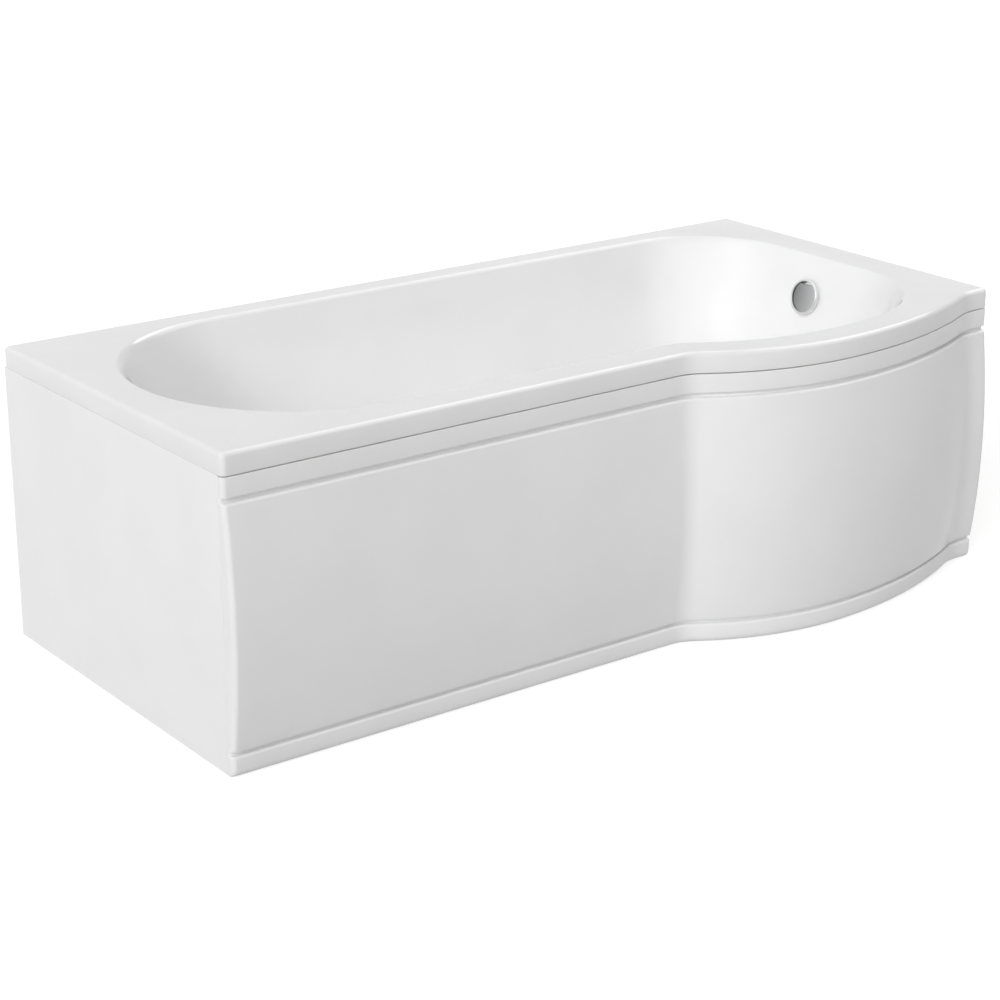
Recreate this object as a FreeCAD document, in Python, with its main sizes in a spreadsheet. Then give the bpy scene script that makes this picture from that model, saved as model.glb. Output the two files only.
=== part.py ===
"""A P-shaped shower bath with its panels, cradles, levelling legs and pop-up waste, in millimetres.

The bath lies along X with its head end at -X and its tap end at +X. Its front is at -Y, its wall side
at +Y, and it stands on the floor at Z = 0, centred over the origin.
"""
import FreeCAD
import Part
import Sketcher

import math
import os
import re
from types import SimpleNamespace

SIZES = {
    # Rim and tub
    "bath_length": 1700,
    "end_width": 755,
    "bulge_depth": 95,
    "rim_height": 550,
    "skirt_depth": 38,
    "shell_wall": 5,
    "rim_corner": 10,
    "inner_corner_share": 0.1,
    "rim_edge": 8,
    "opening_edge": 8,
    "round_limit_share": 0.9,
    "round_wall_share": 0.35,
    "rim_head": 76,
    "rim_tap": 87,
    "rim_front": 71,
    "rim_back": 57,
    "head_curve": 300,
    "far_corner": 200,
    "near_corner": 270,
    "corner_floor_share": 0.6,
    "tub_depth": 402,
    "floor_blend": 70,
    "head_slope": 36,
    "tap_slope": 14,
    "side_slope": 10,
    # Bulge of the front, set out from the tap end
    "bulge_tap_flat": 32,
    "bulge_run_out": 395,
    "bulge_run_in": 300,
    "bulge_blend_out": 120,
    "bulge_blend_in": 80,
    # Layers under the acrylic
    "bond_gap": 0.3,
    "backing_wall": 3,
    "backing_drop": 6,
    "board_thickness": 18,
    "board_width": 340,
    "board_head_margin": 20,
    "board_waste_gap": 60,
    # Timber under the rim and on the floor
    "batten_width": 40,
    "former_half_width": 190,
    "floor_batten_width": 25,
    "floor_batten_height": 45,
    "floor_batten_end_gap": 60,
    "floor_block_half": 60,
    "seat_gap": 0.3,
    # Panels
    "panel_gap": 2,
    "end_panel_gap": 0.5,
    "panel_skin": 4,
    "panel_return": 14,
    "panel_bow": 17,
    "field_stand": 1.5,
    "plinth_height": 37,
    "groove_height": 9,
    "groove_depth": 5,
    "band_height": 34,
    "plinth_lip": 3,
    "field_lip": 4,
    "end_panel_thickness": 12,
    "panel_joint": 1.5,
    # Panel clips
    "clip_width": 30,
    "clip_gauge": 2,
    "clip_drop": 24,
    "clip_reach": 28,
    "clip_end_inset": 160,
    # Wall brackets
    "bracket_width": 40,
    "bracket_gauge": 2,
    "bracket_drop": 60,
    "bracket_hole_drop": 36,
    "bracket_hole_radius": 3.5,
    "bracket_end_inset": 350,
    # Cradles, legs and feet
    "cradle_width": 40,
    "cradle_height": 25,
    "cradle_gauge": 2.5,
    "cradle_overhang": 30,
    "head_cradle_setback": 110,
    "tap_cradle_setback": 110,
    "leg_spacing": 480,
    "bracket_depth": 30,
    "bracket_flange": 22,
    "leg_rod_radius": 6,
    "leg_hole_clearance": 0.5,
    "thread_clearance": 0.06,
    "rod_stand": 4,
    "nut_radius": 10.5,
    "nut_height": 9,
    "foot_radius": 25,
    "foot_height": 22,
    "foot_plate": 6,
    "foot_hub_radius": 12,
    "foot_socket_floor": 8,
    "channel_room_share": 0.6,
    "nut_room_share": 0.2,
    "web_room_share": 0.5,
    "foot_room_share": 0.25,
    "foot_plate_share": 0.4,
    "foot_socket_share": 0.5,
    # Screws
    "screw_radius": 2.4,
    "screw_length": 14,
    "screw_head_radius": 4.6,
    "screw_head_height": 3,
    "screw_clearance": 0.1,
    "cradle_screw_offset": 120,
    # Pop-up waste
    "waste_setback": 70,
    "waste_hole_radius": 26,
    "flange_radius": 35,
    "flange_height": 2.5,
    "flange_tube_radius": 22,
    "flange_tube_bore": 19,
    "flange_tube_drop": 34,
    "flange_bridge_height": 4,
    "flange_port_radius": 5,
    "flange_port_circle": 12.5,
    "waste_washer": 2,
    "lower_washer": 4,
    "washer_radius": 34,
    "body_flange_radius": 36,
    "body_flange_height": 6,
    "waste_body_radius": 29,
    "waste_body_drop": 52,
    "body_floor": 4,
    "outlet_radius": 23.9,
    "outlet_bore": 20,
    "outlet_length": 22,
    "inlet_height": 28,
    "inlet_reach": 24,
    "waste_clearance": 0.2,
    "plug_radius": 32,
    "plug_skirt": 4,
    "plug_crown": 4,
    "plug_slope_share": 0.8,
    "plug_crown_share": 0.7,
    "plug_flat_share": 0.4,
    "plug_wall": 2.5,
    "plug_rest_gap": 0.3,
    "seal_height": 3,
    "stem_radius": 4,
    "stem_drop": 46,
    "stem_clearance": 0.08,
    # Overflow and its pipe
    "overflow_drop": 82,
    "overflow_hole_radius": 26,
    "plate_radius": 36,
    "plate_height": 4,
    "plate_tube_radius": 20,
    "plate_tube_bore": 17,
    "plate_tube_inset": 8,
    "plate_port_radius": 4,
    "plate_port_circle": 11,
    "knob_radius": 36.5,
    "knob_gap": 1.5,
    "knob_height": 7,
    "knob_wall": 2.5,
    "knob_edge": 2.5,
    "knob_lip": 5.5,
    "knob_sink": 3,
    "knob_face": 1.5,
    "knob_slot": 6.5,
    "spindle_radius": 4,
    "crank_width": 10,
    "crank_reach": 14,
    "crank_gauge": 3,
    "cup_radius": 28,
    "cup_depth": 32,
    "cup_wall": 3,
    "cup_flange_radius": 36,
    "cup_flange_height": 5,
    "pipe_radius": 16,
    "pipe_wall": 3,
    "pipe_bend": 60,
    "socket_wall": 3,
    "socket_depth": 14,
    "socket_reach": 46,
    "pipe_nut_radius": 25,
    "pipe_nut_height": 12,
    "cable_radius": 2,
    # How far cutting tools pass the faces that they cut
    "overrun": 5,
}

LAYOUT = {
    # Faces of the outside
    "head_face": "-bath_length / 2",
    "tap_face": "bath_length / 2",
    "front_face": "(bulge_depth + panel_bow - end_width) / 2",
    "back_face": "front_face + end_width",
    "rim_under": "rim_height - shell_wall",
    "skirt_foot": "rim_height - skirt_depth",
    "panel_top": "skirt_foot - panel_gap",
    "corner_clear": "max(rim_corner; shell_wall)",
    # Bulge: two arcs that meet at its peak, each led into the straight front by a hollow arc
    "bulge_radius_in": "(bulge_run_in ^ 2 + bulge_depth ^ 2) / (2 * bulge_depth)",
    "bulge_radius_out": "(bulge_run_out ^ 2 + bulge_depth ^ 2) / (2 * bulge_depth)",
    "bulge_end": "tap_face - bulge_tap_flat",
    "bulge_peak":
        "bulge_end - sqrt(bulge_depth * (2 * (bulge_radius_out + bulge_blend_out) - bulge_depth))",
    "bulge_start":
        "bulge_peak - sqrt(bulge_depth * (2 * (bulge_radius_in + bulge_blend_in) - bulge_depth))",
    # Tub
    "floor_top": "rim_height - tub_depth",
    "tub_middle": "(front_face + rim_front + back_face - rim_back) / 2",
    "floor_head":
        "head_face + rim_head + tub_depth * tan(head_slope) + floor_blend * tan((90 - head_slope) / 2)",
    "floor_tap":
        "tap_face - rim_tap - tub_depth * tan(tap_slope) - floor_blend * tan((90 - tap_slope) / 2)",
    # Layers under the floor
    "wall_stack": "shell_wall + bond_gap + backing_wall",
    "board_top": "floor_top - wall_stack",
    "board_foot": "board_top - board_thickness",
    "board_head": "floor_head + board_head_margin",
    "board_end": "waste_x - board_waste_gap",
    # Waste
    "waste_x": "floor_tap - waste_setback",
    "flange_top": "floor_top + waste_washer + flange_height",
    "body_top": "board_top - lower_washer",
    "body_foot": "body_top - waste_body_drop",
    "outlet_foot": "body_foot - outlet_length",
    "inlet_z": "body_foot + inlet_height",
    "socket_radius": "pipe_radius + waste_clearance + socket_wall",
    # Cradles and legs, whose parts keep to the room under the board
    "channel_drop": "min(cradle_height; board_foot * channel_room_share)",
    "nut_rise": "min(nut_height; board_foot * nut_room_share)",
    "web_drop": "min(bracket_depth; board_foot * web_room_share)",
    "foot_top": "min(foot_height; board_foot * foot_room_share)",
    "foot_rim": "min(foot_plate; foot_top * foot_plate_share)",
    "foot_socket": "min(foot_socket_floor; foot_top * foot_socket_share)",
    "head_cradle_x": "floor_head + head_cradle_setback",
    "tap_cradle_x": "waste_x - tap_cradle_setback",
    "centre_leg_x": "(head_cradle_x + tap_cradle_x) / 2",
    "leg_back_y": "tub_middle + leg_spacing / 2",
    "leg_front_y": "tub_middle - leg_spacing / 2",
    "leg_bulge_y": "leg_front_y - bulge_depth",
    "centre_web_top": "board_foot - web_drop + cradle_gauge",
    # Overflow: its point on the tub wall, and the middle of its cup behind that wall
    "overflow_z": "rim_height - overflow_drop",
    "overflow_x": "tap_face - rim_tap - overflow_drop * tan(tap_slope)",
    "cup_front": "wall_stack + 2 * waste_clearance + waste_washer",
    "cup_back": "cup_front + cup_depth",
    "cup_middle": "cup_front + cup_depth / 2",
    "pipe_x": "overflow_x + cup_middle * cos(tap_slope)",
    "cup_z": "overflow_z - cup_middle * sin(tap_slope)",
    "pipe_top": "cup_z - socket_reach + socket_depth",
    "crank_back": "cup_back - cup_wall - crank_gauge",
    "knob_back": "plate_height + knob_gap",
    "knob_front": "knob_back + knob_height",
    "knob_face_top": "knob_front - knob_sink",
    "knob_face_foot": "knob_face_top - knob_face",
    # Clip and bracket places
    "clip_front": "front_face + panel_return + seat_gap",
    "clip_head": "head_face + end_panel_thickness + seat_gap",
    "clip_first": "head_face + clip_end_inset",
    "clip_last": "bulge_start - clip_end_inset / 2",
    "bracket_head_x": "head_face + bracket_end_inset",
    "bracket_tap_x": "tap_face - bracket_end_inset",
}

doc = FreeCAD.newDocument("shower_bath")
sheet = doc.addObject("Spreadsheet::Sheet", "Sizes")
for row, (alias, size) in enumerate(SIZES.items(), 1):
    sheet.set(f"A{row}", alias)
    sheet.set(f"B{row}", str(size))
    sheet.setAlias(f"B{row}", alias)
doc.recompute()


def linked(formula):
    """A formula with each size and place named in it tied to the object that holds it."""
    def owner(match):
        name = match.group()
        if name in SIZES:
            return "Sizes." + name
        return "Layout." + name if name in LAYOUT else name
    return re.sub(r"[a-z][a-z_]*", owner, formula)


layout = doc.addObject("App::VarSet", "Layout")
for name in LAYOUT:
    layout.addProperty("App::PropertyFloat", name)
for name, formula in LAYOUT.items():
    layout.setExpression(name, linked(formula))
doc.recompute()

v = SimpleNamespace(
    **{name: float(getattr(sheet, name)) for name in SIZES},
    **{name: float(getattr(layout, name)) for name in LAYOUT},
)
PIECES = []


# Ways of making a piece

def bind(thing, **formulas):
    """Ties properties of an object to formulas."""
    for name, formula in formulas.items():
        thing.setExpression(name, linked(formula))
    return thing


def place(thing, x="0", y="0", z="0"):
    """Ties an object's place to formulas."""
    for axis, formula in zip("xyz", (x, y, z)):
        thing.setExpression(f"Placement.Base.{axis}", linked(formula))
    return thing


def turn(thing, axis, formula):
    """Turns an object about one axis by an angle that follows a formula."""
    thing.Placement = FreeCAD.Placement(FreeCAD.Vector(), FreeCAD.Rotation(FreeCAD.Vector(*axis), 1))
    thing.setExpression("Placement.Rotation.Angle", linked(formula))
    return thing


def piece(thing, label):
    """Names a finished sub-part."""
    thing.Label = label
    PIECES.append(thing)
    return thing


def box(x, y, z, length, width, height):
    """A block from its lowest corner."""
    block = doc.addObject("Part::Box", "Block")
    bind(block, Length=length, Width=width, Height=height)
    return place(block, x, y, z)


def rod(x, y, z, radius, height, axis=None):
    """A cylinder that rises from its base, or lies along +X or +Y."""
    cylinder = doc.addObject("Part::Cylinder", "Rod")
    bind(cylinder, Radius=radius, Height=height)
    if axis == "x":
        turn(cylinder, (0, 1, 0), "90")
    if axis == "y":
        turn(cylinder, (-1, 0, 0), "90")
    return place(cylinder, x, y, z)


def fused(*parts):
    """Several solids joined into one."""
    joined = doc.addObject("Part::MultiFuse", "Joined")
    joined.Shapes = list(parts)
    joined.Refine = True
    return joined


def cut(base, *tools):
    """A solid with others taken out of it."""
    removed = doc.addObject("Part::Cut", "Cut")
    removed.Base = base
    removed.Tool = tools[0] if len(tools) == 1 else fused(*tools)
    return removed


def group(*parts):
    """Separate solids of one kind, kept together."""
    together = doc.addObject("Part::Compound", "Group")
    together.Links = list(parts)
    return together


def outline(body, name, plane, corners):
    """A closed sketch of straight lines with every corner held by two formulas."""
    sketch = body.newObject("Sketcher::SketchObject", name)
    support = [item for item in body.Origin.OriginFeatures if item.Role == plane]
    sketch.AttachmentSupport = [(support[0], "")]
    sketch.MapMode = "FlatFace"
    count = len(corners)
    start = [
        FreeCAD.Vector(math.cos(2 * math.pi * i / count), math.sin(2 * math.pi * i / count), 0)
        for i in range(count)
    ]
    for i in range(count):
        sketch.addGeometry(Part.LineSegment(start[i], start[(i + 1) % count]), False)
    for i in range(count):
        sketch.addConstraint(Sketcher.Constraint("Coincident", i, 2, (i + 1) % count, 1))
    for i, corner in enumerate(corners):
        for kind, formula, guess in zip(("DistanceX", "DistanceY"), corner, start[i]):
            held = sketch.addConstraint(Sketcher.Constraint(kind, -1, 1, i, 1, guess))
            sketch.setExpression(f"Constraints[{held}]", linked(formula))
    return sketch


def turned(name, corners):
    """A body turned about its own Z axis from the corners (radius, height) of its half section."""
    body = doc.addObject("PartDesign::Body", name)
    revolution = body.newObject("PartDesign::Revolution", name + "Turned")
    sketch = outline(body, name + "Section", "XZ_Plane", corners)
    revolution.Profile = sketch
    revolution.ReferenceAxis = (sketch, ["V_Axis"])
    revolution.Angle = 360
    body.Tip = revolution
    return body


def extruded(name, plane, corners, length):
    """A body with one flat outline, raised evenly to both sides of its sketch plane."""
    body = doc.addObject("PartDesign::Body", name)
    sketch = outline(body, name + "Outline", plane, corners)
    pad = body.newObject("PartDesign::Pad", name + "Raised")
    pad.Profile = sketch
    pad.Midplane = True
    bind(pad, Length=length)
    body.Tip = pad
    return body


def shaped(shape):
    """A solid worked out by a formula that no stock feature gives."""
    solid = doc.addObject("Part::Feature", "Shaped")
    solid.Shape = shape
    solid.Placement = FreeCAD.Placement()
    return solid


def screw(x, y, z):
    """A pan-head screw driven upwards, with the underside of its head at z."""
    return fused(
        rod(x, y, f"{z} - screw_head_height", "screw_head_radius", "screw_head_height"),
        rod(x, y, z, "screw_radius", "screw_length"),
    )


def screw_hole(x, y, z):
    """The hole that such a screw needs."""
    return rod(x, y, f"{z} - overrun", "screw_radius + screw_clearance", "screw_length + 2 * overrun")


# Curves of the plan

def point(x, y, z=0.0):
    return FreeCAD.Vector(x, y, z)


def line(start, end):
    return Part.LineSegment(start, end).toShape()


def arc(start, end, centre):
    """The short circular arc between two points about a centre."""
    radius = start.distanceToPoint(centre)
    way = (start - centre) + (end - centre)
    return Part.Arc(start, centre + way.normalize() * radius, end).toShape()


def elliptic(start, corner, end):
    """A quarter ellipse that leaves its start towards the corner and reaches its end from there."""
    curve = Part.BezierCurve()
    curve.setPoles([start, corner, end])
    curve.setWeight(2, math.sqrt(0.5))
    return curve.toShape()


def towards(start, end, distance):
    """The point at a distance from the start on the line to the end."""
    return start + (end - start).normalize() * distance


def bulged_front(inset, z):
    """The four arcs of the bulge from the head side to the tap side, drawn in by an inset."""
    front = v.front_face + inset
    peak = point(v.bulge_peak, front - v.bulge_depth, z)
    edges = []
    for foot_x, radius, blend in (
        (v.bulge_start, v.bulge_radius_in - inset, v.bulge_blend_in + inset),
        (v.bulge_end, v.bulge_radius_out - inset, v.bulge_blend_out + inset),
    ):
        centre = point(v.bulge_peak, front - v.bulge_depth + radius, z)
        hollow = point(foot_x, front - blend, z)
        meeting = towards(centre, hollow, radius)
        edges.append([arc(point(foot_x, front, z), meeting, hollow), arc(meeting, peak, centre)])
    return edges[0] + edges[1][::-1]


def rim_outline(inset, z):
    """The plan of the rim, drawn in by an inset."""
    left, right = v.head_face + inset, v.tap_face - inset
    front, back = v.front_face + inset, v.back_face - inset
    corner = max(v.rim_corner - inset, v.rim_corner * v.inner_corner_share)
    return Part.Wire([
        line(point(left + corner, front, z), point(v.bulge_start, front, z)),
        *bulged_front(inset, z),
        line(point(v.bulge_end, front, z), point(right - corner, front, z)),
        arc(point(right - corner, front, z), point(right, front + corner, z),
            point(right - corner, front + corner, z)),
        line(point(right, front + corner, z), point(right, back - corner, z)),
        arc(point(right, back - corner, z), point(right - corner, back, z),
            point(right - corner, back - corner, z)),
        line(point(right - corner, back, z), point(left + corner, back, z)),
        arc(point(left + corner, back, z), point(left, back - corner, z),
            point(left + corner, back - corner, z)),
        line(point(left, back - corner, z), point(left, front + corner, z)),
        arc(point(left, front + corner, z), point(left + corner, front, z),
            point(left + corner, front + corner, z)),
    ])


# Tub surfaces

def wall_inset(z, slope, grow):
    """How far a wall has come in from the opening at height z, with its round blend into the floor."""
    lean = math.radians(slope)
    radius = v.floor_blend + grow
    below = v.floor_top + v.floor_blend - z
    toe = v.tub_depth * math.tan(lean) + v.floor_blend * math.tan((math.pi / 2 - lean) / 2)
    if below > radius * math.sin(lean):
        return toe - math.sqrt(max(radius ** 2 - below ** 2, 0))
    return (v.rim_height - z) * math.tan(lean) - grow / math.cos(lean)


def tub_section(z, grow):
    """The plan of the tub at height z, grown outwards: straight sides, round corners, bulge, oval head."""
    side = wall_inset(z, v.side_slope, grow)
    head = v.head_face + v.rim_head + wall_inset(z, v.head_slope, grow)
    tap = v.tap_face - v.rim_tap - wall_inset(z, v.tap_slope, grow)
    near, far = v.front_face + v.rim_front + side, v.back_face - v.rim_back - side
    middle = (near + far) / 2
    nose = head + v.head_curve * (far - near) / (v.end_width - v.rim_front - v.rim_back)
    narrowing = 1 - (1 - v.corner_floor_share) * (v.rim_height - z) / v.tub_depth
    far_corner, near_corner = v.far_corner * narrowing, v.near_corner * narrowing
    hollow, left, _, _ = bulged_front(v.rim_front + side, z)
    radius = v.bulge_radius_out - v.rim_front - side
    centre = point(v.bulge_peak, near - v.bulge_depth + radius, z)
    across = tap - near_corner - v.bulge_peak
    along = math.sqrt((radius - near_corner) ** 2 - across ** 2)
    turn_centre = point(tap - near_corner, centre.y - along, z)
    meeting = towards(centre, turn_centre, radius)
    peak = point(v.bulge_peak, near - v.bulge_depth, z)
    return Part.Wire([
        line(point(nose, far, z), point(tap - far_corner, far, z)),
        arc(point(tap - far_corner, far, z), point(tap, far - far_corner, z),
            point(tap - far_corner, far - far_corner, z)),
        line(point(tap, far - far_corner, z), point(tap, turn_centre.y, z)),
        arc(point(tap, turn_centre.y, z), meeting, turn_centre),
        arc(meeting, peak, centre),
        left.reversed(),
        hollow.reversed(),
        line(point(v.bulge_start, near, z), point(nose, near, z)),
        elliptic(point(nose, near, z), point(head, near, z), point(head, middle, z)),
        elliptic(point(head, middle, z), point(head, far, z), point(nose, far, z)),
    ])


BLEND_TURN_SHARES = (0, 0.2, 0.4, 0.6, 0.8, 1)


def tub_solid(grow, top):
    """The tub as a solid block, its surface moved outwards by a grown wall."""
    bend_top = v.floor_top + v.floor_blend
    heights = [
        bend_top - (v.floor_blend + grow) * math.cos(share * math.pi / 2) for share in BLEND_TURN_SHARES
    ]
    basin = Part.makeLoft([tub_section(z, grow) for z in heights], True, False)
    walls = Part.makeLoft([tub_section(bend_top, grow), tub_section(top, grow)], True, True)
    return basin.fuse(walls).removeSplitter()


def prism(wire, height):
    """A flat outline raised straight up."""
    return Part.Face(wire).extrude(point(0, 0, height))


def edges_at(shape, height):
    """The edges of a shape that lie flat at one height."""
    return [
        edge for edge in shape.Edges
        if max(abs(edge.BoundBox.ZMin - height), abs(edge.BoundBox.ZMax - height)) < v.shell_wall / 50
    ]


def opening_edges(shell):
    """The edges where the flat top of the rim turns down into the tub."""
    tops = [face for face in shell.Faces if face.BoundBox.ZMin > v.rim_height - v.shell_wall / 50]
    top = max(tops, key=lambda face: face.Area)
    return [edge for wire in top.Wires if not wire.isSame(top.OuterWire) for edge in wire.Edges]


def hole_tools():
    """The two round holes through the tub: down through the floor, and square to the tap-end wall."""
    lean = math.radians(v.tap_slope)
    inward = point(-math.cos(lean), 0, math.sin(lean))
    mouth = point(v.overflow_x, v.tub_middle, v.overflow_z)
    reach = v.wall_stack + 2 * v.overrun
    drain = point(v.waste_x, v.tub_middle, v.floor_top + v.overrun)
    return [
        Part.makeCylinder(v.waste_hole_radius, reach, drain, point(0, 0, -1)),
        Part.makeCylinder(v.overflow_hole_radius, reach, mouth + inward * v.overrun, inward * -1),
    ]


def bath_shell():
    rim = prism(rim_outline(0, v.skirt_foot), v.skirt_depth)
    edge = min(v.rim_edge, v.rim_corner * v.round_limit_share, v.shell_wall / v.round_wall_share)
    rim = rim.makeFillet(edge, edges_at(rim, v.rim_height))
    hollow_foot = v.skirt_foot - v.overrun
    hollow = prism(rim_outline(v.shell_wall, hollow_foot), v.rim_under - hollow_foot)
    outside = tub_solid(v.shell_wall, v.rim_height - v.shell_wall / 2)
    inside = tub_solid(0, v.rim_height + v.overrun)
    shell = rim.cut(hollow).fuse(outside).cut(inside).removeSplitter()
    edge = min(v.opening_edge, v.shell_wall / v.round_wall_share)
    shell = shell.makeFillet(edge, opening_edges(shell))
    for tool in hole_tools():
        shell = shell.cut(tool)
    return piece(shaped(shell), "bath_shell")


def glassfibre_backing():
    top = v.rim_under - v.backing_drop
    backing = tub_solid(v.wall_stack, top).cut(tub_solid(v.shell_wall + v.bond_gap, v.rim_under))
    for tool in hole_tools():
        backing = backing.cut(tool)
    return piece(shaped(backing), "glassfibre_backing")


# Panels

def out(outward, z):
    """A point of the front panel's section at the head end, so far out from the front plane."""
    return point(v.head_face, v.front_face - outward, z)


def panel_section():
    """The outer line of the front panel, from the floor to its top edge."""
    deep, stand = v.groove_depth, v.field_stand
    lip, brow = [min(radius, deep * v.round_limit_share) for radius in (v.plinth_lip, v.field_lip)]
    low, high = v.plinth_height + v.groove_height, v.panel_top - v.band_height - v.groove_height
    shoulder = high - brow
    crest = out(v.panel_bow, (low + shoulder) / 2)
    field = Part.Arc(out(stand, low), crest, out(stand, shoulder)).toShape()
    return [
        line(out(0, 0), out(0, v.plinth_height - lip)),
        arc(out(0, v.plinth_height - lip), out(-lip, v.plinth_height), out(-lip, v.plinth_height - lip)),
        line(out(-lip, v.plinth_height), out(-deep, v.plinth_height)),
        line(out(-deep, v.plinth_height), out(-deep, low)),
        line(out(-deep, low), out(stand, low)),
        field,
        arc(out(stand, shoulder), out(stand - brow, high), out(stand - brow, shoulder)),
        line(out(stand - brow, high), out(-deep, high)),
        line(out(-deep, high), out(-deep, high + v.groove_height)),
        line(out(-deep, high + v.groove_height), out(0, high + v.groove_height)),
        line(out(0, high + v.groove_height), out(0, v.panel_top)),
    ]


def panel_lining():
    """The inner line of the front panel, one skin behind the outer one, from its top edge to the floor."""
    skin, deep = v.panel_skin, v.groove_depth
    low, high = v.plinth_height + v.groove_height, v.panel_top - v.band_height - v.groove_height
    corners = [
        (v.panel_return, v.panel_top),
        (v.panel_return, v.panel_top - skin),
        (skin, v.panel_top - skin),
        (skin, high + v.groove_height + skin),
        (deep + skin, high + v.groove_height + skin),
        (deep + skin, high - skin),
        (skin - v.field_stand, high - skin),
    ]
    lower = [
        (skin - v.field_stand, low + skin),
        (deep + skin, low + skin),
        (deep + skin, v.plinth_height - skin),
        (skin, v.plinth_height - skin),
        (skin, skin),
        (v.panel_return, skin),
        (v.panel_return, 0),
        (0, 0),
    ]
    upper_points = [out(0, v.panel_top)] + [out(-depth, z) for depth, z in corners]
    lower_points = [out(-depth, z) for depth, z in lower]
    crest = out(v.panel_bow - skin, (low + high) / 2)
    edges = [line(a, b) for a, b in zip(upper_points, upper_points[1:])]
    edges.append(Part.Arc(upper_points[-1], crest, lower_points[0]).toShape())
    return edges + [line(a, b) for a, b in zip(lower_points, lower_points[1:])]


def front_panel():
    front = v.front_face
    path = Part.Wire(
        [line(point(v.head_face, front), point(v.bulge_start, front))]
        + bulged_front(0, 0)
        + [line(point(v.bulge_end, front), point(v.tap_face, front))]
    )
    skin = path.makePipeShell([Part.Wire(panel_section() + panel_lining())], True, False)
    back = front + v.panel_return
    foot, head = point(v.head_face, back, 0), point(v.head_face, back, v.panel_top)
    closing = [
        line(point(v.head_face, front, v.panel_top), head),
        line(head, foot),
        line(foot, point(v.head_face, front, 0)),
    ]
    cheek = Part.Face(Part.Wire(panel_section() + closing)).extrude(point(v.panel_skin, 0, 0))
    far_cheek = cheek.translated(point(v.bath_length - v.panel_skin, 0, 0))
    return piece(shaped(skin.fuse([cheek, far_cheek]).removeSplitter()), "front_panel")


def end_panel():
    panel = box(
        "head_face", "front_face + panel_return + panel_joint", "0",
        "end_panel_thickness", "end_width - panel_return - panel_joint", "skirt_foot - end_panel_gap",
    )
    return piece(panel, "end_panel")


# Timber

def clip_places():
    """Where the front panel's clips sit along the straight front."""
    return ["clip_first", "(clip_first + clip_last) / 2", "clip_last"]


def end_clip_places():
    """Where the end panel's clips sit across the head end."""
    return ["front_face + clip_end_inset", "back_face - clip_end_inset"]


def bulge_seat(half):
    """Front of a straight piece of a half width that stands behind the panel's return in the bulge."""
    inner = "(bulge_radius_in - panel_return)"
    return f"(clip_front - bulge_depth + {inner} - sqrt({inner} ^ 2 - ({half}) ^ 2))"


def under_rim(x, y, length, width):
    """A block of timber inside the skirt, hard up under the rim."""
    return box(x, y, "skirt_foot", length, width, "rim_under - skirt_foot")


def battens():
    holes = [screw_hole(x, "back_face - bracket_width / 2", "skirt_foot")
             for x in ("bracket_head_x", "bracket_tap_x")]
    back = under_rim(
        "head_face + corner_clear", "back_face - shell_wall - batten_width",
        "bath_length - 2 * corner_clear", "batten_width",
    )
    piece(cut(back, *holes), "back_batten")
    front = under_rim(
        "head_face + corner_clear", "front_face + shell_wall",
        "bulge_start - head_face - corner_clear", "batten_width",
    )
    holes = [screw_hole(x, "clip_front + clip_reach / 2", "skirt_foot") for x in clip_places()]
    piece(cut(front, *holes), "front_batten")
    across = "end_width - 2 * shell_wall - 2 * batten_width"
    head = under_rim(
        "head_face + shell_wall", "front_face + shell_wall + batten_width", "batten_width", across,
    )
    holes = [screw_hole("clip_head + clip_reach / 2", y, "skirt_foot") for y in end_clip_places()]
    piece(cut(head, *holes), "head_batten")
    tap = under_rim(
        "tap_face - shell_wall - batten_width", "front_face + shell_wall + batten_width",
        "batten_width", across,
    )
    piece(tap, "tap_batten")


def bulge_former():
    """A curved board inside the bulge, between two arcs about each of the bulge's centres."""
    edges = []
    for inset in (v.shell_wall + v.seat_gap, v.shell_wall + v.seat_gap + v.batten_width):
        _, left, right, _ = bulged_front(inset, v.skirt_foot)
        edges.append((left, right))
    (left, right), (inner_left, inner_right) = edges
    ends = [
        line(one.Vertexes[0].Point, other.Vertexes[0].Point)
        for one, other in ((left, inner_left), (right, inner_right))
    ]
    band = Part.Wire(Part.__sortEdges__([left, right, inner_left, inner_right, *ends]))
    board = prism(band, v.rim_under - v.skirt_foot)
    keep = Part.makeBox(
        2 * v.former_half_width, v.end_width, v.rim_height,
        point(v.bulge_peak - v.former_half_width, v.front_face - v.end_width / 2, 0),
    )
    solid = shaped(board.common(keep))
    hole = screw_hole("bulge_peak", bulge_seat("clip_width / 2") + " + clip_reach / 2", "skirt_foot")
    return piece(cut(solid, hole), "bulge_former")


def floor_timber():
    length = "bulge_start - clip_head - floor_batten_width"
    front = box(
        "clip_head + floor_batten_width", "clip_front", "0", length, "floor_batten_width",
        "floor_batten_height",
    )
    piece(front, "front_floor_batten")
    end = box(
        "clip_head", "clip_front", "0", "floor_batten_width",
        "end_width - panel_return - seat_gap - floor_batten_end_gap", "floor_batten_height",
    )
    piece(end, "end_floor_batten")
    block = box(
        "bulge_peak - floor_block_half", bulge_seat("floor_block_half"), "0",
        "2 * floor_block_half", "floor_batten_width", "floor_batten_height",
    )
    piece(block, "bulge_floor_block")


def base_board():
    board = box(
        "board_head", "tub_middle - board_width / 2", "board_foot",
        "board_end - board_head", "board_width", "board_thickness",
    )
    holes = [screw_hole(x, y, "board_foot") for x, y in cradle_screw_places()]
    return piece(cut(board, *holes), "base_board")


# Clips and wall brackets

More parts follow.
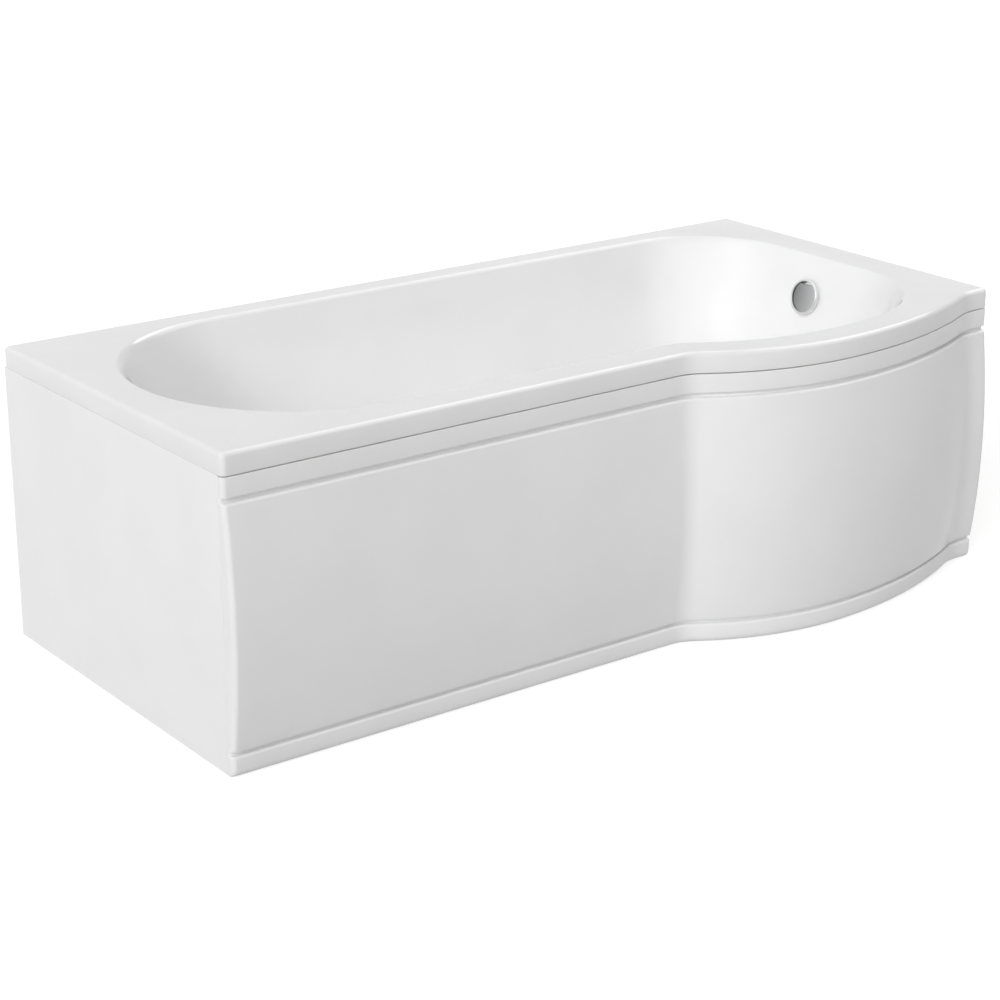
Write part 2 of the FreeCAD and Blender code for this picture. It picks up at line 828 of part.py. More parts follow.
def clip(x, y):
    """A front clip: a plate under the batten, turned down behind the panel's top return."""
    half = "clip_width / 2"
    plate = fused(
        box(f"{x} - {half}", y, "skirt_foot - clip_gauge", "clip_width", "clip_reach", "clip_gauge"),
        box(f"{x} - {half}", y, "skirt_foot - clip_drop", "clip_width", "clip_gauge", "clip_drop"),
    )
    return cut(plate, screw_hole(x, f"{y} + clip_reach / 2", "skirt_foot"))


def end_clip(y):
    """The same clip turned to stand behind the end panel."""
    half = "clip_width / 2"
    plate = fused(
        box("clip_head", f"{y} - {half}", "skirt_foot - clip_gauge",
            "clip_reach", "clip_width", "clip_gauge"),
        box("clip_head", f"{y} - {half}", "skirt_foot - clip_drop",
            "clip_gauge", "clip_width", "clip_drop"),
    )
    return cut(plate, screw_hole("clip_head + clip_reach / 2", y, "skirt_foot"))


def clips():
    spots = [(x, "clip_front") for x in clip_places()] + [("bulge_peak", bulge_seat("clip_width / 2"))]
    piece(group(*[clip(x, y) for x, y in spots]), "front_panel_clips")
    piece(group(*[end_clip(y) for y in end_clip_places()]), "end_panel_clips")
    under = "skirt_foot - clip_gauge"
    screws = [screw(x, f"{y} + clip_reach / 2", under) for x, y in spots]
    screws += [screw("clip_head + clip_reach / 2", y, under) for y in end_clip_places()]
    piece(group(*screws), "clip_screws")


def wall_bracket(x):
    """An angle under the back batten with one leg flat against the wall."""
    left, inner = f"{x} - bracket_width / 2", "back_face - bracket_width"
    angle = fused(
        box(left, inner, "skirt_foot - bracket_gauge", "bracket_width", "bracket_width", "bracket_gauge"),
        box(left, "back_face - bracket_gauge", "skirt_foot - bracket_drop", "bracket_width",
            "bracket_gauge", "bracket_drop"),
    )
    wall_hole = rod(x, "back_face - bracket_gauge - overrun", "skirt_foot - bracket_hole_drop",
                    "bracket_hole_radius", "bracket_gauge + 2 * overrun", "y")
    return cut(angle, wall_hole, screw_hole(x, "back_face - bracket_width / 2", "skirt_foot"))


def wall_brackets():
    spots = ("bracket_head_x", "bracket_tap_x")
    for x, label in zip(spots, ("wall_bracket_head", "wall_bracket_tap")):
        piece(wall_bracket(x), label)
    under = "skirt_foot - bracket_gauge"
    piece(group(*[screw(x, "back_face - bracket_width / 2", under) for x in spots]), "wall_bracket_screws")


# Cradles, legs and feet

LEGS = {
    "head_front": ("head_cradle_x", "leg_front_y", "board_foot"),
    "head_back": ("head_cradle_x", "leg_back_y", "board_foot"),
    "tap_front": ("tap_cradle_x", "leg_bulge_y", "board_foot"),
    "tap_back": ("tap_cradle_x", "leg_back_y", "board_foot"),
    "centre": ("centre_leg_x", "tub_middle", "centre_web_top"),
}


def bracket_screw_x(side):
    """Middle of one flange of the centre bracket."""
    return f"centre_leg_x {side} (cradle_width / 2 + bracket_flange / 2)"


def cradle_screw_places():
    spots = [(x, f"tub_middle {side} cradle_screw_offset")
             for x in ("head_cradle_x", "tap_cradle_x") for side in "+-"]
    return spots + [(bracket_screw_x(side), "tub_middle") for side in "+-"]


def leg_hole(x, y, top):
    return rod(x, y, f"{top} - cradle_gauge - overrun", "leg_rod_radius + leg_hole_clearance",
               "cradle_gauge + 2 * overrun")


def cradle(x, front, label, legs):
    """A steel channel, open below, that runs across under the base board from leg to leg."""
    half, gauge = "cradle_width / 2", "cradle_gauge"
    first, length = f"{front} - cradle_overhang", f"leg_back_y - {front} + 2 * cradle_overhang"
    under = "board_foot - channel_drop"
    block = box(f"{x} - {half}", first, under, "cradle_width", length, "channel_drop")
    space = box(f"{x} - {half} + {gauge}", f"{first} - overrun", f"{under} - overrun",
                f"cradle_width - 2 * {gauge}", f"{length} + 2 * overrun",
                f"channel_drop - {gauge} + overrun")
    holes = [leg_hole(*LEGS[name]) for name in legs]
    holes += [screw_hole(x, f"tub_middle {side} cradle_screw_offset", "board_foot") for side in "+-"]
    return piece(cut(block, space, *holes), label)


def centre_leg_bracket():
    """A hat section: two flanges on the base board and a lowered web for the middle leg."""
    half, gauge, wing = "cradle_width / 2", "cradle_gauge", "(cradle_width / 2 + bracket_flange)"
    hat = extruded("CentreBracket", "XZ_Plane", [
        (f"-{wing}", "0"), (f"-{half} + {gauge}", "0"), (f"-{half} + {gauge}", f"{gauge} - web_drop"),
        (f"{half} - {gauge}", f"{gauge} - web_drop"), (f"{half} - {gauge}", "0"), (wing, "0"),
        (wing, f"-{gauge}"), (half, f"-{gauge}"), (half, "-web_drop"), (f"-{half}", "-web_drop"),
        (f"-{half}", f"-{gauge}"), (f"-{wing}", f"-{gauge}"),
    ], "cradle_width")
    place(hat, "centre_leg_x", "tub_middle", "board_foot")
    holes = [screw_hole(bracket_screw_x(side), "tub_middle", "board_foot") for side in "+-"]
    return piece(cut(hat, leg_hole(*LEGS["centre"]), *holes), "centre_leg_bracket")


def nut(x, y, z):
    hexagon = doc.addObject("Part::Prism", "Hexagon")
    hexagon.Polygon = 6
    bind(hexagon, Circumradius="nut_radius", Height="nut_rise")
    place(hexagon, x, y, z)
    bore = rod(x, y, f"{z} - overrun", "leg_rod_radius + thread_clearance", "nut_rise + 2 * overrun")
    return cut(hexagon, bore)


def legs():
    nuts = []
    for name, (x, y, top) in LEGS.items():
        length = f"{top} + nut_rise + rod_stand - foot_socket"
        piece(rod(x, y, "foot_socket", "leg_rod_radius", length), f"leg_rod_{name}")
        pad = turned(f"FootPad_{name}", [
            ("0", "0"), ("foot_radius", "0"), ("foot_radius", "foot_rim"),
            ("foot_hub_radius", "foot_rim + foot_rim / 2"), ("foot_hub_radius", "foot_top"),
            ("leg_rod_radius + thread_clearance", "foot_top"),
            ("leg_rod_radius + thread_clearance", "foot_socket"), ("0", "foot_socket"),
        ])
        piece(place(pad, x, y), f"foot_pad_{name}")
        nuts += [nut(x, y, top), nut(x, y, f"{top} - cradle_gauge - nut_rise")]
    piece(group(*nuts), "leg_nuts")


# Pop-up waste

def at_waste(body):
    return place(body, "waste_x", "tub_middle")


def ring(name, inner, outer, low, high):
    return turned(name, [(inner, low), (outer, low), (outer, high), (inner, high)])


def waste():
    flange = turned("WasteFlange", [
        ("stem_radius + stem_clearance", "flange_top - flange_tube_drop / 2"),
        ("flange_tube_bore", "flange_top - flange_tube_drop / 2"),
        ("flange_tube_bore", "flange_top - flange_tube_drop"),
        ("flange_tube_radius", "flange_top - flange_tube_drop"),
        ("flange_tube_radius", "floor_top + waste_washer"),
        ("flange_radius", "floor_top + waste_washer"),
        ("flange_radius", "floor_top + waste_washer + flange_height / 2"),
        ("flange_radius - flange_height", "flange_top"),
        ("flange_tube_bore", "flange_top"),
        ("flange_tube_bore", "flange_top - flange_tube_drop / 2 + flange_bridge_height"),
        ("stem_radius + stem_clearance", "flange_top - flange_tube_drop / 2 + flange_bridge_height"),
    ])
    ports = [
        rod(f"waste_x + flange_port_circle * cos({angle})",
            f"tub_middle + flange_port_circle * sin({angle})",
            "flange_top - flange_tube_drop / 2 - overrun", "flange_port_radius",
            "flange_bridge_height + 2 * overrun")
        for angle in range(0, 360, 60)
    ]
    piece(cut(at_waste(flange), *ports), "waste_flange")
    upper = ring("UpperWasher", "flange_tube_radius + waste_clearance", "washer_radius", "floor_top",
                 "floor_top + waste_washer")
    piece(at_waste(upper), "waste_upper_washer")
    lower = ring("LowerWasher", "waste_hole_radius", "washer_radius", "body_top", "board_top")
    piece(at_waste(lower), "waste_lower_washer")
    waste_body()
    plug()


def waste_body():
    """Flange, pot with a floor, threaded outlet below and a socket at its side for the overflow pipe."""
    pot = turned("WastePot", [
        ("0", "outlet_foot"), ("outlet_radius", "outlet_foot"), ("outlet_radius", "body_foot"),
        ("waste_body_radius", "body_foot"), ("waste_body_radius", "body_top - body_flange_height"),
        ("body_flange_radius", "body_top - body_flange_height"), ("body_flange_radius", "body_top"),
        ("0", "body_top"),
    ])
    space = turned("WasteSpace", [
        ("0", "outlet_foot - overrun"), ("outlet_bore", "outlet_foot - overrun"),
        ("outlet_bore", "body_foot + body_floor"),
        ("flange_tube_radius + waste_clearance", "body_foot + body_floor"),
        ("flange_tube_radius + waste_clearance", "body_top + overrun"), ("0", "body_top + overrun"),
    ])
    reach = "waste_body_radius + inlet_reach"
    socket = rod("waste_x", "tub_middle", "inlet_z", "socket_radius", reach, "x")
    port = rod("waste_x", "tub_middle", "inlet_z", "pipe_radius - pipe_wall", reach, "x")
    seat = rod(f"waste_x + {reach} - socket_depth", "tub_middle", "inlet_z",
               "pipe_radius + waste_clearance", "socket_depth + overrun", "x")
    solid = fused(at_waste(pot), socket)
    return piece(cut(solid, at_waste(space), port, seat), "waste_body")


def plug():
    foot = "(flange_top + plug_rest_gap)"
    cap = turned("PlugCap", [
        ("stem_radius", f"{foot} + seal_height"), ("plug_radius - plug_wall", f"{foot} + seal_height"),
        ("plug_radius - plug_wall", foot), ("plug_radius", foot), ("plug_radius", f"{foot} + plug_skirt"),
        ("plug_radius * plug_slope_share", f"{foot} + plug_skirt + plug_crown * plug_crown_share"),
        ("plug_radius * plug_flat_share", f"{foot} + plug_skirt + plug_crown"),
        ("0", f"{foot} + plug_skirt + plug_crown"),
        ("0", f"{foot} + plug_skirt"), ("stem_radius", f"{foot} + plug_skirt"),
    ])
    piece(at_waste(cap), "waste_plug")
    seal = ring("PlugSeal", "flange_tube_bore + waste_clearance",
                "plug_radius - plug_wall - waste_clearance", foot, f"{foot} + seal_height")
    piece(at_waste(seal), "plug_seal")
    stem = rod("waste_x", "tub_middle", "flange_top - stem_drop", "stem_radius",
               "stem_drop + plug_rest_gap + plug_skirt")
    piece(stem, "plug_stem")


# Overflow

def at_overflow(body):
    """Stands a body square on the tap-end wall, with its own Z axis pointing into the tub."""
    turn(body, (0, -1, 0), "90 - tap_slope")
    return place(body, "overflow_x", "tub_middle", "overflow_z")


def overflow():
    gap = "waste_clearance"
    plate = turned("OverflowPlate", [
        ("spindle_radius + stem_clearance", gap), ("plate_tube_bore", gap),
        ("plate_tube_bore", "-cup_front - plate_tube_inset"),
        ("plate_tube_radius", "-cup_front - plate_tube_inset"),
        ("plate_tube_radius", gap), ("plate_radius", gap), ("plate_radius", "plate_height / 2"),
        ("plate_radius - plate_height / 2", "plate_height"),
        ("spindle_radius + stem_clearance", "plate_height"),
    ])
    lean = "sin(tap_slope)"
    ports = []
    for angle in range(45, 360, 90):
        up, side = f"plate_port_circle * cos({angle})", f"plate_port_circle * sin({angle})"
        port = doc.addObject("Part::Cylinder", "Port")
        bind(port, Radius="plate_port_radius", Height="plate_height + 2 * overrun")
        turn(port, (0, -1, 0), "90 - tap_slope")
        place(
            port,
            f"overflow_x + {up} * {lean} + overrun * cos(tap_slope)",
            f"tub_middle + {side}",
            f"overflow_z + {up} * cos(tap_slope) - overrun * {lean}",
        )
        ports.append(port)
    piece(cut(at_overflow(plate), *ports), "overflow_plate")
    washer = ring("OverflowWasher", "overflow_hole_radius", "cup_flange_radius", "-cup_front + " + gap,
                  "-wall_stack - " + gap)
    piece(at_overflow(washer), "overflow_washer")
    overflow_knob()
    overflow_body()


def knob_slot():
    """What the water slot takes from the knob's face: the part of a disc above a straight line."""
    reach, foot = "(knob_radius - knob_lip)", "(knob_face_foot - overrun)"
    disc = turned("KnobSlot", [("0", foot), (reach, foot), (reach, "knob_front"), ("0", "knob_front")])
    low, back = f"({reach} + overrun)", f"({foot} - overrun)"
    below = doc.addObject("Part::Box", "Block")
    bind(below, Length=f"{low} + {reach} - knob_slot", Width=f"2 * {low}",
         Height=f"knob_front + overrun - {back}")
    turn(below, (0, -1, 0), "90 - tap_slope")
    place(
        below,
        f"overflow_x - {low} * sin(tap_slope) - {back} * cos(tap_slope)",
        f"tub_middle - {low}",
        f"overflow_z - {low} * cos(tap_slope) + {back} * sin(tap_slope)",
    )
    return cut(at_overflow(disc), below)


def overflow_knob():
    """A cap whose face is sunk inside a raised lip, on a spindle that turns a crank in the cup."""
    cap = turned("KnobCap", [
        ("spindle_radius", "knob_back"), ("2 * spindle_radius", "knob_back"),
        ("2 * spindle_radius", "knob_face_foot"), ("knob_radius - knob_wall", "knob_face_foot"),
        ("knob_radius - knob_wall", "knob_back"), ("knob_radius", "knob_back"),
        ("knob_radius", "knob_front - knob_edge"), ("knob_radius - knob_edge", "knob_front"),
        ("knob_radius - knob_lip", "knob_front"), ("knob_radius - knob_lip", "knob_face_top"),
        ("0", "knob_face_top"), ("0", "knob_face_foot"), ("spindle_radius", "knob_face_foot"),
    ])
    piece(cut(at_overflow(cap), knob_slot()), "overflow_knob")
    spindle = turned("KnobSpindle", [
        ("0", "-crank_back - crank_gauge / 2"), ("spindle_radius", "-crank_back - crank_gauge / 2"),
        ("spindle_radius", "knob_face_foot"), ("0", "knob_face_foot"),
    ])
    piece(at_overflow(spindle), "knob_spindle")
    half = "crank_width / 2"
    crank = extruded("KnobCrank", "XY_Plane", [
        (f"-{half}", f"-{half}"), (half, f"-{half}"), (half, "crank_reach"), (f"-{half}", "crank_reach"),
    ], "crank_gauge")
    turn(crank, (0, -1, 0), "90 - tap_slope")
    place(crank, "overflow_x + (crank_back - crank_gauge) * cos(tap_slope)", "tub_middle",
          "overflow_z - (crank_back - crank_gauge) * sin(tap_slope)")
    shaft = turned("CrankBore", [
        ("0", "-cup_back"), ("spindle_radius", "-cup_back"), ("spindle_radius", "0"), ("0", "0"),
    ])
    piece(cut(crank, at_overflow(shaft)), "knob_crank")


def overflow_body():
    """A flanged cup behind the wall with a socket pointing straight down for the pipe."""
    cup = turned("OverflowCup", [
        ("0", "-cup_back"), ("cup_radius", "-cup_back"), ("cup_radius", "-cup_front - cup_flange_height"),
        ("cup_flange_radius", "-cup_front - cup_flange_height"), ("cup_flange_radius", "-cup_front"),
        ("0", "-cup_front"),
    ])
    space = turned("OverflowSpace", [
        ("0", "cup_wall - cup_back"), ("cup_radius - cup_wall", "cup_wall - cup_back"),
        ("cup_radius - cup_wall", "-cup_front - plate_tube_inset - cup_wall"),
        ("plate_tube_radius + waste_clearance", "-cup_front - plate_tube_inset - cup_wall"),
        ("plate_tube_radius + waste_clearance", "overrun - cup_front"), ("0", "overrun - cup_front"),
    ])
    foot = "(cup_z - socket_reach)"
    socket = rod("pipe_x", "tub_middle", foot, "socket_radius", "socket_reach")
    port = rod("pipe_x", "tub_middle", f"{foot} - overrun", "pipe_radius - pipe_wall",
               "socket_reach + overrun")
    seat = rod("pipe_x", "tub_middle", f"{foot} - overrun", "pipe_radius + waste_clearance",
               "socket_depth + overrun")
    solid = fused(at_overflow(cup), cut(socket, at_overflow(turned("SocketTrim", [
        ("0", "overrun - cup_front"), ("2 * cup_flange_radius", "overrun - cup_front"),
        ("2 * cup_flange_radius", "-cup_front"), ("0", "-cup_front"),
    ]))))
    return piece(cut(solid, at_overflow(space), port, seat), "overflow_body")


def pipe_path(shift, start, end):
    """Straight down behind the tub, one bend, and level to the waste, moved sideways by a shift."""
    y, bend = v.tub_middle + shift, v.pipe_bend
    centre = point(v.pipe_x - bend, y, v.inlet_z + bend)
    low, turn_in = point(v.pipe_x, y, v.inlet_z + bend), point(v.pipe_x - bend, y, v.inlet_z)
    return Part.Wire([
        line(point(v.pipe_x, y, start), low),
        arc(low, turn_in, centre),
        line(turn_in, point(end, y, v.inlet_z)),
    ])


def swept(path, radius):
    """A round bar along a path that starts straight down."""
    start = path.Vertexes[0].Point
    circle = Part.Wire(Part.Circle(start, point(0, 0, -1), radius).toShape())
    return path.makePipeShell([circle], True, False)


def overflow_pipe():
    inlet_end = v.waste_x + v.waste_body_radius + v.inlet_reach
    path = pipe_path(0, v.pipe_top, inlet_end - v.socket_depth)
    tube = swept(path, v.pipe_radius).cut(swept(path, v.pipe_radius - v.pipe_wall))
    piece(shaped(tube), "overflow_pipe")
    shift = v.cable_radius + v.seat_gap + v.pipe_wall - v.pipe_radius
    cable = pipe_path(shift, v.pipe_top, inlet_end - v.socket_depth)
    piece(shaped(swept(cable, v.cable_radius)), "control_cable")
    upper = rod("pipe_x", "tub_middle", "cup_z - socket_reach - pipe_nut_height", "pipe_nut_radius",
                "pipe_nut_height")
    upper_bore = rod("pipe_x", "tub_middle", "cup_z - socket_reach - pipe_nut_height - overrun",
                     "pipe_radius + waste_clearance", "pipe_nut_height + 2 * overrun")
    face = "waste_x + waste_body_radius + inlet_reach"
    lower = rod(face, "tub_middle", "inlet_z", "pipe_nut_radius", "pipe_nut_height", "x")
    lower_bore = rod(f"{face} - overrun", "tub_middle", "inlet_z", "pipe_radius + waste_clearance",
                     "pipe_nut_height + 2 * overrun", "x")
    piece(group(cut(upper, upper_bore), cut(lower, lower_bore)), "overflow_pipe_nuts")


bath_shell()
glassfibre_backing()
front_panel()
end_panel()
battens()
bulge_former()
floor_timber()
base_board()
clips()
wall_brackets()
cradle("head_cradle_x", "leg_front_y", "head_cradle", ("head_front", "head_back"))
cradle("tap_cradle_x", "leg_bulge_y", "tap_cradle", ("tap_front", "tap_back"))
centre_leg_bracket()
piece(group(*[screw(x, y, "board_foot - cradle_gauge") for x, y in cradle_screw_places()]), "cradle_screws")
legs()
waste()
overflow()
overflow_pipe()

doc.recompute()
failed = [thing.Name for thing in doc.Objects if {"Invalid", "Error"} & set(thing.State)]
if failed:
    raise RuntimeError(f"these objects failed: {failed}")
for thing in PIECES:
    if thing.Shape.isNull() or not thing.Shape.isValid() or not thing.Shape.Solids:
        raise RuntimeError(f"{thing.Label} has no valid solid")

os.makedirs("parts", exist_ok=True)
for thing in PIECES:
    thing.Shape.exportStep(f"parts/{thing.Label}.step")
    print(f"{thing.Label}: {len(thing.Shape.Solids)} solid(s), {thing.Shape.Volume / 1000:.1f} cm3")
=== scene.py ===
"""The looks of a P-shaped shower bath: acrylic, panels, timber, legs and pop-up waste, round a fixed frame."""
import math
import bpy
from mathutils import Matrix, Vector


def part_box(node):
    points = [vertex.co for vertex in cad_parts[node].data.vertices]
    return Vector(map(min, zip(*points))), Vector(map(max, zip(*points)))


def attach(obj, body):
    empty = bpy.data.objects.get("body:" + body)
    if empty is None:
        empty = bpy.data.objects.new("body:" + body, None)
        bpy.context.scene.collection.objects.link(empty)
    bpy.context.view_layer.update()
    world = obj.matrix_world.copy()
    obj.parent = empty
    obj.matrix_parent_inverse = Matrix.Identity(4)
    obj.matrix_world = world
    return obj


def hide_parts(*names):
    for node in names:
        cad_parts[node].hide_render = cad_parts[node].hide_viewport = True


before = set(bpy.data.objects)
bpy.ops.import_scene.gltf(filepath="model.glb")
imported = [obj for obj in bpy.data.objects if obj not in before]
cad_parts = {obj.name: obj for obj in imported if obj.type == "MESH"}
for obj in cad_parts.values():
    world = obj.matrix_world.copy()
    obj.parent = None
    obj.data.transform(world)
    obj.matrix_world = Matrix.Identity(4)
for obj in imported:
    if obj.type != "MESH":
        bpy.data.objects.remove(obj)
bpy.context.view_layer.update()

from types import SimpleNamespace

import bmesh
import bpy
import numpy as np

LEGS = ("head_front", "head_back", "tap_front", "tap_back", "centre")

bl_info = {
    "name": "Shower bath",
    "version": (1, 0, 0),
    "blender": (4, 5, 0),
    "location": "3D View > Sidebar > Bath",
    "description": "Makes the visible surfaces of a P-shaped shower bath and a plain studio for it",
    "category": "Object",
}


# Kinds of setting

def length(name, millimetres, description):
    """A size, written in millimetres."""
    return bpy.props.FloatProperty(
        name=name, description=description, default=millimetres / 1000, unit="LENGTH", precision=4)


def angle(name, degrees, description):
    """A turn, written in degrees."""
    return bpy.props.FloatProperty(
        name=name, description=description, default=math.radians(degrees), subtype="ANGLE")


def share(name, value, description):
    """A part of a whole, from 0 to 1."""
    return bpy.props.FloatProperty(
        name=name, description=description, default=value, min=0, max=1, subtype="FACTOR")


def level(name, value, description):
    """A strength or a plain number, not below 0."""
    return bpy.props.FloatProperty(name=name, description=description, default=value, min=0)


def count(name, value, description):
    """A whole number, at least 1."""
    return bpy.props.IntProperty(name=name, description=description, default=value, min=1)


def colour(name, red, green, blue, description):
    """A colour, as its red, green and blue."""
    return bpy.props.FloatVectorProperty(
        name=name, description=description, default=(red, green, blue), min=0, max=1, subtype="COLOR")


def vector(name, parts, subtype, description):
    """A place or a direction."""
    return bpy.props.FloatVectorProperty(name=name, description=description, default=parts, subtype=subtype)


class RimSettings(bpy.types.PropertyGroup):
    """Plan of the rim, its bulge and its edges."""
    bath_length: length("Length", 1700, "Head face to tap face")
    end_width: length("End width", 755, "Width of the bath at its ends")
    bulge_depth: length("Bulge depth", 95, "How far the bulge stands out from the straight front")
    front_face: length("Front plane", -321.5, "Place of the straight front across the bath")
    rim_height: length("Rim height", 550, "Top of the rim above the floor")
    skirt_depth: length("Skirt depth", 38, "Height of the rim's outer face")
    shell_wall: length("Acrylic thickness", 5, "Thickness of the formed sheet")
    rim_corner: length("Rim corner", 10, "Radius of the rim's corners in plan")
    rim_edge: length("Rim edge", 8, "Radius of the rim's outer top edge")
    foot_edge: length("Skirt edge", 1, "Radius of the skirt's lower edge")
    opening_edge: length("Opening edge", 8, "Radius where the rim turns down into the tub along its sides")
    opening_head: length("Opening at the head", 14, "The same radius at the head end")
    opening_tap: length("Opening at the taps", 5, "The same radius at the tap end")
    opening_drop: length("Opening drop at the taps", 40, "How far the rounded edge reaches down the tap-end wall")
    bulge_tap_flat: length("Flat at the tap end", 32, "Straight front between the bulge and the tap end")
    bulge_run_out: length("Bulge run to the tap end", 395, "Sets the bulge's larger radius")
    bulge_run_in: length("Bulge run to the head end", 300, "Sets the bulge's smaller radius")
    bulge_blend_out: length("Hollow at the tap end", 120, "Radius that leads the bulge into the front")
    bulge_blend_in: length("Hollow at the head end", 80, "Radius that leads the bulge into the front")


class TubSettings(bpy.types.PropertyGroup):
    """Form of the tub, of the layer sprayed on its back and of its two holes."""
    rim_head: length("Rim at the head", 76, "Width of the flat rim at the head end")
    rim_tap: length("Rim at the taps", 87, "Width of the flat rim at the tap end")
    rim_front: length("Rim at the front", 71, "Width of the flat rim along the front")
    rim_back: length("Rim at the back", 57, "Width of the flat rim along the wall")
    head_curve: length("Head curve", 300, "Length of the half oval at the head end")
    far_corner: length("Far corner", 200, "Radius of the tub's corner by the wall")
    near_corner: length("Near corner", 270, "Radius of the tub's corner by the bulge")
    corner_floor_share: share("Corner at the floor", 0.6, "Size of a corner at the floor, as a share")
    tub_depth: length("Depth", 402, "Rim to the floor of the tub")
    floor_blend: length("Floor blend", 70, "Radius between the walls and the floor")
    head_slope: angle("Head slope", 36, "Lean of the back rest")
    tap_slope: angle("Tap slope", 14, "Lean of the wall at the tap end")
    side_slope: angle("Side slope", 10, "Lean of the long walls")
    waste_setback: length("Waste setback", 70, "Waste to the end of the flat floor")
    waste_hole: length("Waste hole", 26, "Radius of the hole in the floor")
    overflow_drop: length("Overflow drop", 82, "Rim down to the overflow")
    bond_gap: length("Bond", 0.3, "Gap between the acrylic and its backing")
    backing_wall: length("Backing thickness", 3, "Thickness of the sprayed glass fibre")
    backing_drop: length("Backing drop", 6, "Underside of the rim down to the backing's edge")
    backing_waves: length("Backing unevenness", 0.7, "How deep the sprayed layer dips")


class PanelSettings(bpy.types.PropertyGroup):
    """Sections of the front panel and of the end panel."""
    panel_top: length("Panel top", 510, "Top edge of both panels")
    panel_skin: length("Skin", 4, "Thickness of the front panel")
    panel_return: length("Return", 14, "Depth of the front panel's folded edges")
    panel_corner: length("End corner", 9, "Radius where the front panel turns to its ends")
    panel_bow: length("Bow", 17, "How far the field swells out")
    field_stand: length("Field edge", 1.5, "How far the field's edges stand out")
    plinth_height: length("Plinth", 37, "Height of the plain band at the floor")
    band_height: length("Band", 34, "Height of the plain band under the rim")
    groove_height: length("Groove height", 9, "Height of both grooves")
    groove_depth: length("Groove depth", 9.5, "Depth of both grooves")
    field_lip: length("Field lip", 6, "Radius of the field's upper edge")
    plinth_lip: length("Plinth lip", 5, "Radius of the plinth's upper edge")
    panel_foot: length("Panel foot", 12, "Radius of the front panel's lower edge")
    crisp_radius: length("Crisp edge", 0.7, "Radius of the sharper moulded edges")
    field_cove: length("Upper cove", 1, "Hollow radius at the foot of the upper groove")
    plinth_cove: length("Lower cove", 1, "Hollow radius at the foot of the lower groove")
    board_edge: length("End panel edge", 1.2, "Radius of the end panel's edges")
    board_gap: length("End panel gap", 0.5, "Top of the end panel to the rim")


class FittingSettings(bpy.types.PropertyGroup):
    """Overflow, pop-up waste and the pipe between them."""
    plate_radius: length("Plate radius", 36, "Base ring of the overflow")
    plate_height: length("Plate height", 4, "Thickness of the base ring")
    plate_edge: length("Plate edge", 2, "Radius of the base ring's outer edge")
    plate_mouth: length("Plate mouth", 0.8, "Radius of the base ring's inner edge")
    plate_tube: length("Plate tube", 20, "Outer radius of the tube behind the base ring")
    plate_bore: length("Plate bore", 17, "Inner radius of that tube")
    plate_reach: length("Plate reach", 18.7, "How far the tube goes through the wall")
    knob_radius: length("Knob radius", 36.5, "Radius of the turning knob")
    knob_gap: length("Knob gap", 1.5, "Gap between base ring and knob, where the water goes in")
    knob_height: length("Knob height", 7, "Thickness of the knob")
    knob_wall: length("Knob wall", 2.5, "Wall of the knob")
    knob_edge: length("Knob edge", 2.2, "Radius of the knob's front edge")
    knob_lip: length("Knob lip", 5.5, "Width of the raised rim round the knob's face")
    knob_sink: length("Knob face depth", 3, "How far the knob's face lies below its rim")
    knob_dish: length("Knob dish", 0.8, "How hollow the knob's face is")
    knob_face: length("Knob face thickness", 1.5, "Thickness of the knob's face")
    # The dull cup is painted shade: a darker lining on the rim's inner wall
    knob_cup: length("Knob cup wall", 0.8, "Wall of the dull cup inside the knob's rim")
    knob_slot: length("Knob slot", 6.5, "Height of the inlet slot over the knob's face")
    spindle_radius: length("Spindle", 4, "Radius of the knob's spindle")
    flange_radius: length("Flange radius", 35, "Waste flange in the floor")
    flange_height: length("Flange height", 2.5, "Thickness of the waste flange")
    flange_edge: length("Flange edge", 1.8, "Radius of the waste flange's outer edge")
    flange_mouth: length("Flange mouth", 1, "Radius of the waste flange's inner edge")
    flange_seat: length("Flange seat", 2, "Washer under the waste flange")
    flange_tube: length("Flange tube", 22, "Outer radius of the tube under the flange")
    flange_bore: length("Flange bore", 19, "Inner radius of that tube")
    flange_drop: length("Flange drop", 34, "Flange down to the end of its tube")
    bridge_height: length("Bridge height", 4, "Height of the bridge across the flange's tube")
    plug_radius: length("Plug radius", 32, "Radius of the pop-up plug")
    plug_rest: length("Plug rest", 0.3, "Gap under the plug when it is shut")
    plug_skirt: length("Plug skirt", 4, "Straight edge of the plug")
    plug_crown: length("Plug crown", 4, "Height of the plug's dome")
    plug_edge: length("Plug edge", 0.6, "Radius of the plug's lower edge")
    plug_fall: level("Plug fall", 2.4, "Power of the radius by which the plug's dome falls")
    plug_wall: length("Plug wall", 2.5, "Wall of the plug")
    seal_height: length("Seal height", 3, "Thickness of the plug's seal")
    stem_radius: length("Stem", 4, "Radius of the plug's stem")
    pipe_radius: length("Pipe radius", 16, "Overflow pipe")
    pipe_wall: length("Pipe wall", 3, "Wall of the overflow pipe")
    pipe_bend: length("Pipe bend", 60, "Radius of the bend to the waste")
    nut_radius: length("Pipe nut", 25, "Radius of the pipe's nuts over their ribs")
    nut_bore: length("Pipe nut bore", 16.2, "Hole through the pipe's nuts")
    nut_height: length("Pipe nut height", 12, "Height of the pipe's nuts")
    nut_ease: length("Pipe nut edge", 1, "Sloped edge of the pipe's nuts")
    nut_groove: length("Pipe nut grooves", 1.2, "How deep the outside steps in between the ribs")
    nut_ribs: count("Pipe nut ribs", 24, "Grip ribs round each pipe nut")


